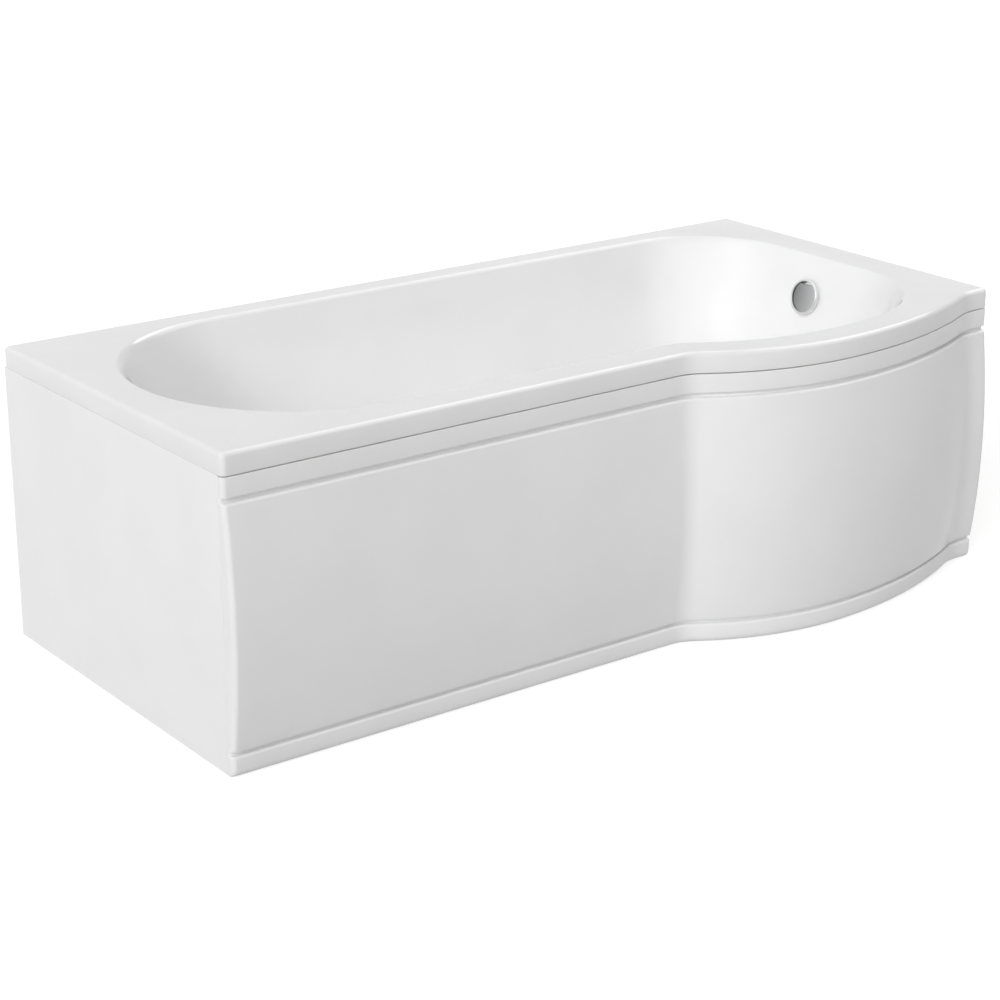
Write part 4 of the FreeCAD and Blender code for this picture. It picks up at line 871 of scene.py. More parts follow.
def sprayed_glassfibre(place, resin, strand):
    """Chopped strands in resin: three crossing sets of short light streaks over a blotchy ground."""
    streaks = [
        place.node("ShaderNodeMapping", Vector=place, Rotation=turn, Scale=(14, 150, 150)).noise(3.0, 2.0, 0.6)
        for turn in ((0.3, 0.2, 0.5), (0.5, 1.1, 1.6), (1.2, 0.4, 2.6))
    ]
    strands = place.maths("MAXIMUM", streaks[0], place.maths("MAXIMUM", streaks[1], streaks[2]))
    blotch = place.noise(9.0, 4.0, 0.6)
    threads = strands.band(0.58, 0.72)
    ground = blotch.band(0.3, 0.7).mix(tone(resin, 0.82), tone(resin, 1.15))
    return dict(
        bump=(threads * 0.6 + blotch, 0.0011),
        Base_Color=(threads * 0.75).mix(ground, strand), Roughness=0.62 - threads * 0.2)


def sawn_timber(place, light, dark, grain):
    """Softwood: growth rings drawn out along the grain, fine fibres and a few knots."""
    stretch, fine = np.full(3, 24.0), np.full(3, 420.0)
    stretch[grain], fine[grain] = 1.2, 6
    rings = place.scaled(*stretch).noise(2.2, 3.0, 0.55, 0.7)
    late = place.maths("ABSOLUTE", place.maths("FRACT", rings * 9) - 0.5) * 2
    fibres = place.scaled(*fine).noise(1.0, 3.0)
    knot = 1 - place.cells(3.1).band(0.02, 0.055)
    wood = (late ** 3).mix(light, dark)
    return dict(
        bump=(fibres + late * 0.5, 0.0003),
        Base_Color=knot.mix((fibres.band(0.35, 0.7) * 0.35).mix(wood, tone(light, 0.72)), tone(dark, 0.45)),
        Roughness=fibres.band(0.2, 0.8) * 0.2 + 0.6)


def particle_board(place, light, dark):
    """Pressed chips: flat cells of mixed browns with finer dust between them."""
    tint = place.scaled(1, 1.6, 3).chips(150.0)
    dust = place.noise(600.0, 3.0)
    return dict(
        bump=(tint * 0.7 + dust * 0.5, 0.0004),
        Base_Color=(tint * 0.7 + dust * 0.3).band(0.15, 0.9).mix(dark, light),
        Roughness=dust.band(0.3, 0.7) * 0.15 + 0.7)


def zinc_plate(place, rgb):
    """Zinc-plated steel: crystals of slightly different grey, with dull spots."""
    spangle = place.chips(85.0)
    spots = place.noise(30.0, 4.0, 0.65)
    return dict(
        bump=(spots, 0.0001), Metallic=1.0,
        Base_Color=spangle.mix(tone(rgb, 0.86), tone(rgb, 1.1)),
        Roughness=spangle * 0.16 + spots.band(0.45, 0.75) * 0.22 + 0.26)


def moulded_plastic(place, rgb, roughness):
    """Moulded plastic: a fine spark-eroded texture and faint flow marks."""
    texture = place.noise(1400.0)
    flow = place.scaled(1, 1, 3).noise(18.0, 3.0)
    return dict(
        bump=(texture, 0.00008),
        Base_Color=flow.band(0.3, 0.7).mix(tone(rgb, 0.93), tone(rgb, 1.05)),
        Roughness=texture.band(0.3, 0.7) * 0.12 + roughness)


def polished_chrome(place, rgb):
    """Chrome plate: bright, with faint water marks that dull it."""
    marks = place.noise(160.0, 4.0, 0.6)
    drops = 1 - place.cells(210.0).band(0.0, 0.2)
    return dict(
        bump=(marks, 0.00001), Metallic=1.0,
        Base_Color=marks.band(0.35, 0.7).mix(tone(rgb, 0.96), tone(rgb, 1.02)),
        Roughness=marks.band(0.5, 0.8) * 0.06 + drops * 0.03 + 0.19)


def brushed_satin(place, rgb, middle, reach):
    """Satin plate: fine brush lines one way and a few dull spots, with a painted reflection: painted shade
    towards one side and a painted highlight towards the other.
    """
    across = place.node("ShaderNodeSeparateXYZ", output="Y", Vector=place)
    # Painted reflection: a gradient across the knob, painted shade on one side and a painted highlight on the
    # other
    sheen = 1 - across.band(middle - reach, middle + reach)
    lines = place.scaled(30, 1, 30).noise(70.0, 3.0, 0.6)
    spots = place.noise(140.0, 3.0)
    return dict(
        bump=(lines, 0.00002), Metallic=1.0,
        # A shaded and a lit copy of the satin colour, mixed by the painted reflection
        Base_Color=(sheen + lines.band(0.3, 0.7) * 0.1).mix(tone(rgb, 0.45), tone(rgb, 1.45)),
        Roughness=lines.band(0.3, 0.7) * 0.08 + spots.band(0.55, 0.8) * 0.08 + 0.16)


def turned_brass(place, rgb):
    """Turned brass: fine tool rings across its length and darker tarnish in patches."""
    rings = place.scaled(1, 1, 40).noise(120.0)
    tarnish = place.noise(90.0, 4.0, 0.6)
    return dict(
        bump=(rings, 0.00004), Metallic=1.0,
        Base_Color=tarnish.band(0.4, 0.75).mix(rgb, tone(rgb, 0.6)),
        Roughness=rings.band(0.3, 0.7) * 0.15 + 0.22)


def soft_rubber(place, rgb):
    """Rubber: matt, with a powdery bloom."""
    bloom = place.noise(120.0, 4.0, 0.65)
    return dict(
        bump=(bloom, 0.0001),
        Base_Color=bloom.band(0.4, 0.8).mix(rgb, tuple(part + 0.03 for part in rgb)),
        Roughness=bloom.band(0.3, 0.7) * 0.15 + 0.68)


def material_of(scene, kind):
    """A finish by its plain name, made once."""
    found = bpy.data.materials.get(kind)
    if found:
        return found
    f, m = scene.bath_finish, measures(scene)
    finish, *given = {
        "bath_acrylic": (glossy_white, f.acrylic, f.acrylic_gloss),
        "panel_white": (glossy_white, f.panel, f.panel_gloss),
        "glass_fibre": (sprayed_glassfibre, f.glassfibre, f.strand),
        "timber_along": (sawn_timber, f.timber, f.timber_dark, 0),
        "timber_across": (sawn_timber, f.timber, f.timber_dark, 1),
        "chip_board": (particle_board, f.board, f.board_dark),
        "zinc_steel_plate": (zinc_plate, f.zinc),
        "black_moulding": (moulded_plastic, f.black_plastic, f.black_gloss),
        "white_moulding": (moulded_plastic, f.white_plastic, f.white_gloss),
        "chrome_plate": (polished_chrome, f.chrome),
        "satin_plate": (brushed_satin, f.satin, m.tub_middle, m.knob_radius),
        "brass_turned": (turned_brass, f.brass),
        "seal_rubber": (soft_rubber, f.rubber),
    }[kind]
    material, place = new_material(kind)
    values = finish(place, *given)
    height, depth = values.pop("bump")
    values["Normal"] = place.node("ShaderNodeBump", Height=height, Distance=depth, Strength=1.0)
    place.node("ShaderNodeBsdfPrincipled", **values).end("ShaderNodeOutputMaterial")
    return material


def dress_nodes(scene, kind, *nodes):
    """Gives a finish to solids that are shown as they are."""
    for node in nodes:
        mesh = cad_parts[node].data
        mesh.materials.clear()
        mesh.materials.append(material_of(scene, kind))


# Pieces

PLAY = 0.0001  # Gap round a pin in its hole, and the least radius of an edge
SEAT = 0.0002  # Gap under a fitting, and the radius in the corner over it
TRIM, EASE, BLUNT = 0.0003, 0.0004, 0.0005  # Radii of the fittings' small edges


class BATH_OT_shell(bpy.types.Operator):
    """The formed acrylic: rim, skirt and tub in one sheet, with a hole for the waste"""
    bl_idname = "bath.shell"
    bl_label = "Acrylic shell"

    def execute(self, context):
        m = measures(context.scene)
        places = tub_places()
        inner = inner_tub_rows(m, places)
        upwards = np.concatenate([np.linspace(2, 1, 11)[:-1], np.linspace(1, 0, 5)])
        under = wall_rows(m, places, m.shell_wall, upwards, m.rim_under)
        foot, edge = (np.pi / 2 * np.linspace(0, 1, steps) for steps in (4, 9))
        inset = np.concatenate([
            [m.shell_wall, m.shell_wall], m.foot_edge * (1 - np.sin(foot)), m.rim_edge * (1 - np.cos(edge))])
        z = np.concatenate([
            [m.rim_under, m.skirt_foot], m.skirt_foot + m.foot_edge * (1 - np.cos(foot)),
            m.rim_height - m.rim_edge * (1 - np.sin(edge))])
        rows = np.concatenate([
            inner, hole_rows(m, inner[-1], (0.25, 0.5, 0.75, 1)), hole_rows(m, under[0], (1, 0.5)), under,
            rim_rows(m, rim_places(m, places), inset, z)])
        add_piece(context.scene, "acrylic_shell", [joined(rows)], "bath_acrylic", "bath",
                  ["bath_shell"])
        return {"FINISHED"}


class BATH_OT_backing(bpy.types.Operator):
    """Glass fibre sprayed on the back of the tub, uneven on its outside"""
    bl_idname = "bath.backing"
    bl_label = "Glass fibre backing"

    def execute(self, context):
        m = measures(context.scene)
        shares = np.concatenate([np.linspace(0, 1, 40), np.linspace(1, 2, 16)[1:]])
        near = m.shell_wall + m.bond_gap
        inside, outside = (
            wall_rows(m, tub_places(), grow, shares, m.rim_under - m.backing_drop)
            for grow in (near, near + m.backing_wall))
        dips = self.waves(*np.moveaxis(outside, -1, 0)) * m.backing_waves / m.backing_wall
        outside = outside - (outside - inside) * dips[..., None]
        rows = np.concatenate([
            inside, hole_rows(m, inside[-1], (0.5, 1)), hole_rows(m, outside[-1], (1, 0.75, 0.5, 0.25)),
            outside[::-1]])
        add_piece(context.scene, "glass_fibre_layer", [joined(rows)], "glass_fibre", "bath",
                  ["glassfibre_backing"])
        return {"FINISHED"}

    def waves(self, x, y, z):
        """Uneven spray between 0 and 1: three crossing sets of sines, each finer than the last."""
        broad = np.sin(61 * x + 3 * np.sin(23 * y)) * np.sin(53 * y + 47 * z)
        middling = np.sin(131 * x - 97 * z) * np.sin(113 * y + 2)
        return (broad + middling + np.sin(211 * x + 167 * y + 190 * z)) / 6 + 0.5


def panel_rows(m):
    """The front panel's closed section as depth behind the front plane, height, and inset of the ends.

    The field is a shallow arc between its grooves, and the lining follows the face one skin behind it.
    """
    low, high = m.plinth_height + m.groove_height, m.panel_top - m.band_height - m.groove_height
    swell = m.panel_bow - m.field_stand
    span = (high - m.field_lip - low) / 2
    radius = (span ** 2 + swell ** 2) / (2 * swell)
    z = np.linspace(low, high - m.field_lip, 27)[1:-1]
    bow = np.sqrt(radius ** 2 - (z - low - span) ** 2) - radius + m.panel_bow
    crisp, deep = m.crisp_radius, m.groove_depth
    band = high + m.groove_height
    face = np.array([
        (0, 0, m.panel_foot), (0, m.plinth_height, m.plinth_lip), (deep, m.plinth_height, m.plinth_cove),
        (deep, low, crisp), (-m.field_stand, low, crisp), *np.stack([-bow, z, np.zeros_like(z)], -1),
        (-m.field_stand, high, m.field_lip), (deep, high, m.field_cove), (deep, band, crisp), (0, band, crisp),
        (0, m.panel_top, crisp),
    ])
    skin, back = m.panel_skin, m.panel_return
    lining = np.array([
        (back, m.panel_top), (back, m.panel_top - skin), (skin, m.panel_top - skin), (skin, band + skin),
        (deep + skin, band + skin), (deep + skin, high - skin), (skin - m.field_stand, high - skin),
        *np.stack([skin - bow, z], -1)[-2:1:-1],
        (skin - m.field_stand, low + skin), (deep + skin, low + skin), (deep + skin, m.plinth_height - skin),
        (skin, m.plinth_height - skin), (skin, skin), (back, skin), (back, 0),
    ])
    inner_ends = np.full(len(lining), skin)
    inner_ends[[0, -1]] = 0
    steps = 6
    section = rounded(
        np.concatenate([face[:, :2], lining]), np.concatenate([face[:, 2], np.zeros(len(lining))]), steps)
    return *section.T, np.repeat(np.concatenate([np.zeros(len(face)), inner_ends]), steps)


def panel_plan(m, depth, side):
    """The front panel's line from its tap-end cheek to its head-end cheek, at depths behind the front plane."""
    left, right = m.head_face + side, m.tap_face - side
    front, back = m.front_face + depth, m.front_face + m.panel_return
    c = np.clip(np.minimum(m.panel_corner - side, back - front), 1e-6, None)
    return [
        straight(spot(right, back), spot(right, front + c)),
        arc(spot(right, front + c), spot(right - c, front), spot(right - c, front + c)),
        straight(spot(right - c, front), spot(m.bulge_end, front)),
        *bulged_front(m, depth),
        straight(spot(m.bulge_start, front), spot(left + c, front)),
        arc(spot(left + c, front), spot(left, front + c), spot(left + c, front + c)),
        straight(spot(left, front + c), spot(left, back)),
    ]


PANEL_STEPS = (2, 9, 3, 18, 36, 32, 16, 20, 9, 2)


class BATH_OT_front_panel(bpy.types.Operator):
    """The bowed front panel: one grooved section carried along the front, round the bulge and both ends"""
    bl_idname = "bath.front_panel"
    bl_label = "Front panel"

    def execute(self, context):
        m = measures(context.scene)
        depth, z, side = panel_rows(m)
        curves = panel_plan(m, depth, side)
        plan = np.concatenate(
            [along(curves, even_places(PANEL_STEPS)), curves[-1](np.ones((1, 1)))], 1)
        sheet = surface(raised(plan, z[:, None, None]), wrap_rows=True, caps=True)
        add_piece(context.scene, "front_panel_skin", [sheet], "panel_white", "bath",
                  ["front_panel"])
        return {"FINISHED"}


class BATH_OT_end_panel(bpy.types.Operator):
    """The flat end panel, a board with eased edges"""
    bl_idname = "bath.end_panel"
    bl_label = "End panel"

    def execute(self, context):
        m = measures(context.scene)
        low, high = corners_of("end_panel")
        high[2] = m.skirt_foot - m.board_gap
        outline = rounded(oblong(low[0], high[0], low[1], high[1]), m.board_edge)
        turn = np.pi / 2 * np.linspace(0, 1, 5)
        inset, rise = m.board_edge * (1 - np.sin(turn)), m.board_edge * (1 - np.cos(turn))
        z = np.concatenate([low[2] + rise, high[2] - rise[::-1]])
        middle, half = (low + high)[:2] / 2, (high - low)[:2] / 2
        scale = (half - np.concatenate([inset, inset[::-1]])[:, None]) / half
        plan = middle + (outline - middle) * scale[:, None]
        sheet = surface(raised(plan, z[:, None, None]), wrap_columns=True, caps=True)
        add_piece(context.scene, "end_panel_board", [sheet], "panel_white", "bath",
                  ["end_panel"])
        return {"FINISHED"}


class BATH_OT_overflow(bpy.types.Operator):
    """Overflow: chrome base ring on the tap-end wall and the knob that turns in front of it"""
    bl_idname = "bath.overflow"
    bl_label = "Overflow"

    def execute(self, context):
        scene, m = context.scene, measures(context.scene)
        pin = m.spindle_radius
        ring = rounded([
            (m.plate_bore, -m.plate_reach), (m.plate_tube, -m.plate_reach), (m.plate_tube, SEAT),
            (m.plate_radius, SEAT), (m.plate_radius, m.plate_height), (m.plate_bore, m.plate_height),
        ], [TRIM, TRIM, SEAT, BLUNT, m.plate_edge, m.plate_mouth])
        hub = rounded(oblong(pin + PLAY, 1.8 * pin, SEAT, m.plate_height), TRIM)
        arm = rounded(oblong(1.7 * pin, 1.03 * m.plate_bore, -0.6 * pin, 0.6 * pin), EASE)
        arms = spokes(4, arm, 2 * SEAT, 0.85 * m.plate_height)
        add_piece(scene, "overflow_base_ring", at_overflow(m, turned(ring, 96), turned(hub, 40), *arms),
                  "chrome_plate", "bath", ["overflow_plate"])
        back, inside = m.plate_height + m.knob_gap, m.knob_radius - m.knob_lip
        front, cup, hollow = back + m.knob_height, inside + m.knob_cup, m.knob_radius - m.knob_wall
        floor = front - m.knob_sink - m.knob_face
        rim = rounded([
            (m.knob_radius, back), (m.knob_radius, front), (cup, front), (cup, floor), (hollow, floor),
            (hollow, back),
        ], [BLUNT, m.knob_edge, m.knob_cup, PLAY, PLAY, BLUNT])
        add_piece(scene, "overflow_knob_rim", at_overflow(m, turned(rim, 128)), "chrome_plate",
                  "overflow_control", ["overflow_knob"])
        # The satin cup lines the inner wall of the knob's rim in place of chrome: a darker sheet that stands in
        # for the shade on that wall, painted shade
        lining = rounded(oblong(inside, cup, floor, front - m.knob_cup), m.knob_cup / 5)
        boss = [(0, floor + SEAT), (2 * pin, floor + SEAT), (2 * pin, back), (0, back)]
        sheets = self.face(m, inside, floor), turned(lining, 128), turned(boss, 48, closed=False)
        add_piece(scene, "overflow_knob_face", at_overflow(m, *sheets), "satin_plate", "overflow_control",
                  ["overflow_knob"])
        return {"FINISHED"}

    def face(self, m, inside, floor):
        """A hollowed disc cut straight at its top: its radius is the lesser of the circle's and the chord's."""
        bearing = bearings(144)
        chord = (inside - m.knob_slot) / np.maximum(np.cos(bearing), 1e-3)
        reach = np.minimum(inside + PLAY, chord)
        rows = 12
        part = np.concatenate([np.linspace(0, 1, rows), [1], np.linspace(1, 0, 4)])[:, None]
        radius = part * reach
        top = floor + m.knob_face - m.knob_dish * (1 - (radius / inside) ** 2)
        z = np.where(np.arange(len(part))[:, None] < rows, top, floor)
        return surface(carried_round(radius, z, bearing), wrap_columns=True)


class BATH_OT_waste(bpy.types.Operator):
    """Pop-up waste: chrome flange with its cross bridge, domed plug, and the plain parts below the tub"""
    bl_idname = "bath.waste"
    bl_label = "Pop-up waste"

    def execute(self, context):
        scene, m = context.scene, measures(context.scene)
        top, seat, pin = m.flange_top, m.floor_top + m.flange_seat, m.stem_radius
        flange = rounded([
            (m.flange_bore, top - m.flange_drop), (m.flange_tube, top - m.flange_drop), (m.flange_tube, seat),
            (m.flange_radius, seat), (m.flange_radius, top), (m.flange_bore, top),
        ], [EASE, EASE, SEAT, EASE, m.flange_edge, m.flange_mouth])
        low = top - m.flange_drop / 2
        high, half = low + m.bridge_height, m.bridge_height / 2
        hub = rounded(oblong(pin + PLAY, 2 * pin, low, high), TRIM)
        arm = rounded(oblong(1.9 * pin, 1.02 * m.flange_bore, -half, half), TRIM)
        arms = spokes(6, arm, low + TRIM, high - TRIM)
        add_piece(scene, "waste_flange_ring", at_waste(m, turned(flange, 96), turned(hub, 40), *arms),
                  "chrome_plate", "bath", ["waste_flange"])
        add_piece(scene, "pop_up_plug_cap", at_waste(m, self.plug(m)), "chrome_plate", "pop_up_plug",
                  ["waste_plug"])
        dress_nodes(scene, "seal_rubber", "plug_seal", "waste_upper_washer", "waste_lower_washer",
                    "overflow_washer")
        dress_nodes(scene, "brass_turned", "plug_stem", "knob_spindle", "knob_crank")
        dress_nodes(scene, "white_moulding", "waste_body", "overflow_body", "front_panel_clips",
                    "end_panel_clips")
        dress_nodes(scene, "black_moulding", "control_cable")
        return {"FINISHED"}

    def plug(self, m):
        """A turned cap: its dome falls with a power of the radius, over a straight edge and a hollow back."""
        foot, inside = m.flange_top + m.plug_rest, m.plug_radius - m.plug_wall
        shoulder, seal = foot + m.plug_skirt, foot + m.seal_height
        out = np.linspace(0, 1, 18)
        dome = np.stack([m.plug_radius * out, shoulder + m.plug_crown * (1 - out ** m.plug_fall)], -1)
        skirt = rounded([
            (m.plug_radius, shoulder), (m.plug_radius, foot), (inside, foot), (inside, seal),
            (m.stem_radius, seal),
        ], [0, m.plug_edge, EASE, 0, 0])[ARC_STEPS:]
        section = np.concatenate([dome[:-1], [(m.plug_radius, shoulder - EASE)], skirt, [(0, seal)]])
        return turned(section, 128, closed=False)


class BATH_OT_pipe(bpy.types.Operator):
    """Overflow pipe behind the tap end, with two ribbed nuts"""
    bl_idname = "bath.pipe"
    bl_label = "Overflow pipe"

    def execute(self, context):
        m = measures(context.scene)
        low, high = corners_of("overflow_pipe")
        x, z = high[0] - m.pipe_radius, low[2] + m.pipe_radius
        outside, inside = (
            self.wall(m, (x, high[2]), (low[0], z), radius)
            for radius in (m.pipe_radius, m.pipe_radius - m.pipe_wall))
        add_piece(context.scene, "overflow_pipe_tube", [joined(np.concatenate([outside, inside[::-1]]))],
                  "white_moulding", "bath", ["overflow_pipe"])
        nut = self.ribbed_nut(m)
        first, last = corners_of("overflow_pipe_nuts")
        lying = [[0, 0, 1], [0, 1, 0], [-1, 0, 0]]
        nuts = [
            moved(nut, (x, m.tub_middle, last[2] - m.nut_height)), moved(nut, (first[0], m.tub_middle, z), lying)]
        add_piece(context.scene, "overflow_pipe_nut_pair", nuts, "white_moulding", "bath",
                  ["overflow_pipe_nuts"])
        return {"FINISHED"}

    def wall(self, m, start, end, radius):
        """Rings along the pipe's line: straight down, round a quarter bend, and level to the waste."""
        turn = np.linspace(0, np.pi / 2, 40)
        bend = np.array([start[0], end[1]]) + m.pipe_bend * np.stack([np.cos(turn) - 1, 1 - np.sin(turn)], -1)
        line = np.concatenate([[start], bend, [end]])
        across = np.concatenate([[(-1, 0)], np.stack([-np.cos(turn), np.sin(turn)], -1), [(0, 1)]])
        bearing = bearings(48)
        ring = line[:, None] + across[:, None] * (radius * np.cos(bearing))[None, :, None]
        y = np.broadcast_to(m.tub_middle + radius * np.sin(bearing), ring.shape[:2])
        return np.stack([ring[..., 0], y, ring[..., 1]], -1)

    def ribbed_nut(self, m):
        """A ring whose outside steps in and out between its grip ribs, with eased ends."""
        bearing = bearings(m.nut_ribs * 8)
        groove = m.nut_groove * (np.tanh(6 * np.cos(m.nut_ribs * bearing)) - 1) / 2
        eased = m.nut_radius - m.nut_ease
        radius = np.array([m.nut_bore, eased, m.nut_radius, m.nut_radius, eased, m.nut_bore])[:, None]
        z = np.array([0, 0, m.nut_ease, m.nut_height - m.nut_ease, m.nut_height, m.nut_height])[:, None]
        return joined(carried_round(radius + (radius > m.nut_bore) * groove, z, bearing))


class BATH_OT_legs(bpy.types.Operator):
    """Levelling legs: threaded rods, ribbed foot pads and the nuts that clamp them to the cradles"""
    bl_idname = "bath.legs"
    bl_label = "Legs"

    def execute(self, context):
        scene, m = context.scene, measures(context.scene)
        points, nuts = points_of("leg_nuts"), []
        for name in LEGS:
            low, high = corners_of(f"leg_rod_{name}")
            middle = (low + high)[:2] / 2
            rod = moved(self.threaded_rod(m, high[2] - low[2]), (*middle, low[2]))
            add_piece(scene, f"threaded_rod_{name}", [rod], "zinc_steel_plate", f"leg_{name}",
                      [f"leg_rod_{name}"], THREAD_SHARP)
            pad = moved(self.foot_pad(m), (*middle, 0))
            add_piece(scene, f"foot_{name}", [pad], "black_moulding", f"leg_{name}",
                      [f"foot_pad_{name}"])
            own = points[np.linalg.norm(points[:, :2] - middle, axis=1) < 2 * m.leg_nut_radius]
            levels = np.unique(np.round(own[:, 2], 5)).reshape(2, 2)
            nuts += [moved(self.hex_nut(m, top - foot), (*middle, foot)) for foot, top in levels]
        add_piece(scene, "leg_nut_set", nuts, "zinc_steel_plate", "bath", ["leg_nuts"], NUT_SHARP)
        return {"FINISHED"}

    def threaded_rod(self, m, tall):
        """A helix: the radius falls from crest to root and back once in every pitch of height less turn."""
        bearing = bearings(24)
        z = np.concatenate([[0], np.arange(0, tall, m.thread_pitch / 4)[1:], [tall]])[:, None]
        phase = z / m.thread_pitch - bearing / (2 * np.pi)
        ridge = np.abs((phase % 1) * 2 - 1)
        ends = np.clip(np.minimum(z, tall - z) / m.thread_run, 0, 1)
        points = carried_round(m.rod_radius - m.thread_depth * (1 - ridge * ends), z, bearing)
        foot, top = (carried_round(0, np.full((1, 1), end), bearing) for end in (0, tall))
        return surface(np.concatenate([foot, points, top]), wrap_columns=True)

    def foot_pad(self, m):
        """A turned pad whose upper cone is raised into ribs where a cosine of the bearing is high."""
        socket, ease = m.rod_radius + m.foot_play, m.foot_ease
        section = rounded([
            (0, 0), (m.foot_radius, 0), (m.foot_radius, m.foot_rim), (m.foot_hub, m.foot_rim * 1.5),
            (m.foot_hub, m.foot_height), (socket, m.foot_height), (socket, m.foot_socket), (0, m.foot_socket),
        ], [0, ease, ease, m.foot_fillet, ease, EASE, 0, 0])[ARC_STEPS - 1:1 - ARC_STEPS]
        radius, z = section[:, :1], section[:, 1:]
        bearing = bearings(96)
        on_cone = (radius >= m.foot_hub * 0.999) & (z > m.foot_rim)
        cone = np.clip((m.foot_radius * 0.94 - radius) / m.foot_fade, 0, 1) * on_cone
        wide = np.clip((radius - m.foot_hub) / (m.foot_radius - m.foot_hub), 0, 1)
        rib = np.clip(6 * np.cos(m.foot_ribs * bearing) - 4.2, 0, 1)
        lift = cone * rib * m.foot_rib_height * (1 - wide)
        return surface(carried_round(radius, z + lift, bearing), wrap_columns=True)

    def hex_nut(self, m, tall):
        """Six flats cut by a cone at each end: the radius is the lesser of the flat's and the cone's."""
        bearing = bearings(72)
        flat = m.leg_nut_radius * math.cos(math.pi / 6)
        sides = flat / np.cos((bearing + np.pi / 6) % (np.pi / 3) - np.pi / 6)
        rise = np.array([0, 0, 0.5, 1])
        z = np.concatenate([rise, (tall / m.nut_chamfer - rise)[::-1]]) * m.nut_chamfer
        cone = flat + m.nut_crown * np.concatenate([rise, rise[::-1]])
        radius = np.minimum(sides, cone[:, None])
        radius[[0, -1]] = m.leg_nut_bore
        return joined(carried_round(radius, z[:, None], bearing))


class BATH_OT_screws(bpy.types.Operator):
    """Pan-head screws with a cross recess, under the clips, brackets and cradles"""
    bl_idname = "bath.screws"
    bl_label = "Screws"

    def execute(self, context):
        m = measures(context.scene)
        for node in ("clip_screws", "wall_bracket_screws", "cradle_screws"):
            points = points_of(node)
            foot, top = points[:, 2].min(), points[:, 2].max()
            screw = self.screw(m, top - foot)
            sheets = [moved(screw, (*middle, foot)) for middle in self.middles(m, points, foot)]
            add_piece(context.scene, f"{node}_set", sheets, "zinc_steel_plate", "bath", [node])
        return {"FINISHED"}

    def middles(self, m, points, foot):
        """Middle of each screw in plan: foot points fall into cells wider than a head, and each cell's box is
        halved."""
        plan = points[np.abs(points[:, 2] - foot) < 1e-5][:, :2]
        cells = plan / (4 * m.screw_head)
        found = []
        for cell in np.unique(np.round(cells).astype(int), axis=0):
            own = plan[np.abs(cells - cell).max(1) < 0.8]
            found.append((own.min(0) + own.max(0)) / 2)
        return np.unique(np.round(found, 5), axis=0)

    def screw(self, m, tall):
        """A turned screw, head down, whose rounded head sinks where the bearing lies on a cross."""
        head = np.array([0, 0.12, 0.24, 0.36, 0.48, 0.6, 0.72, 0.84, 0.94, 1.0])
        shank = m.screw_radius
        radius = np.concatenate([head * m.screw_head, [m.screw_head, shank, shank, shank * 0.3, 0]])[:, None]
        dome = m.screw_rise * m.screw_dome * head ** m.screw_fall
        z = np.concatenate([dome, [m.screw_rise, m.screw_rise, tall - m.screw_point, tall, tall]])[:, None]
        points = carried_round(radius, z, bearings(48))
        off_cross = np.abs(points[..., :2]).min(-1) / (m.recess_width * m.screw_head)
        slot = np.clip(1.6 - off_cross, 0, 1)
        reach = np.clip(3.2 - 5 * radius / m.screw_head, 0, 1) * (z < m.screw_rise)
        points[..., 2] += slot * reach * m.screw_rise * m.recess_depth
        return surface(points, wrap_columns=True)


class BATH_OT_timber(bpy.types.Operator):
    """Battens, formers and base board, shown as their solids in sawn timber and particle board"""
    bl_idname = "bath.timber"
    bl_label = "Timber and board"

    def execute(self, context):
        scene = context.scene
        dress_nodes(scene, "timber_along", "back_batten", "front_batten", "bulge_former", "front_floor_batten",
                    "bulge_floor_block")
        dress_nodes(scene, "timber_across", "head_batten", "tap_batten", "end_floor_batten")
        dress_nodes(scene, "chip_board", "base_board")
        return {"FINISHED"}


class BATH_OT_steel(bpy.types.Operator):
    """Cradles and brackets, shown as their solids in zinc-plated steel"""
    bl_idname = "bath.steel"
    bl_label = "Cradles and brackets"

    def execute(self, context):
        dress_nodes(context.scene, "zinc_steel_plate", "head_cradle", "tap_cradle", "centre_leg_bracket",
                    "wall_bracket_head", "wall_bracket_tap")
        return {"FINISHED"}


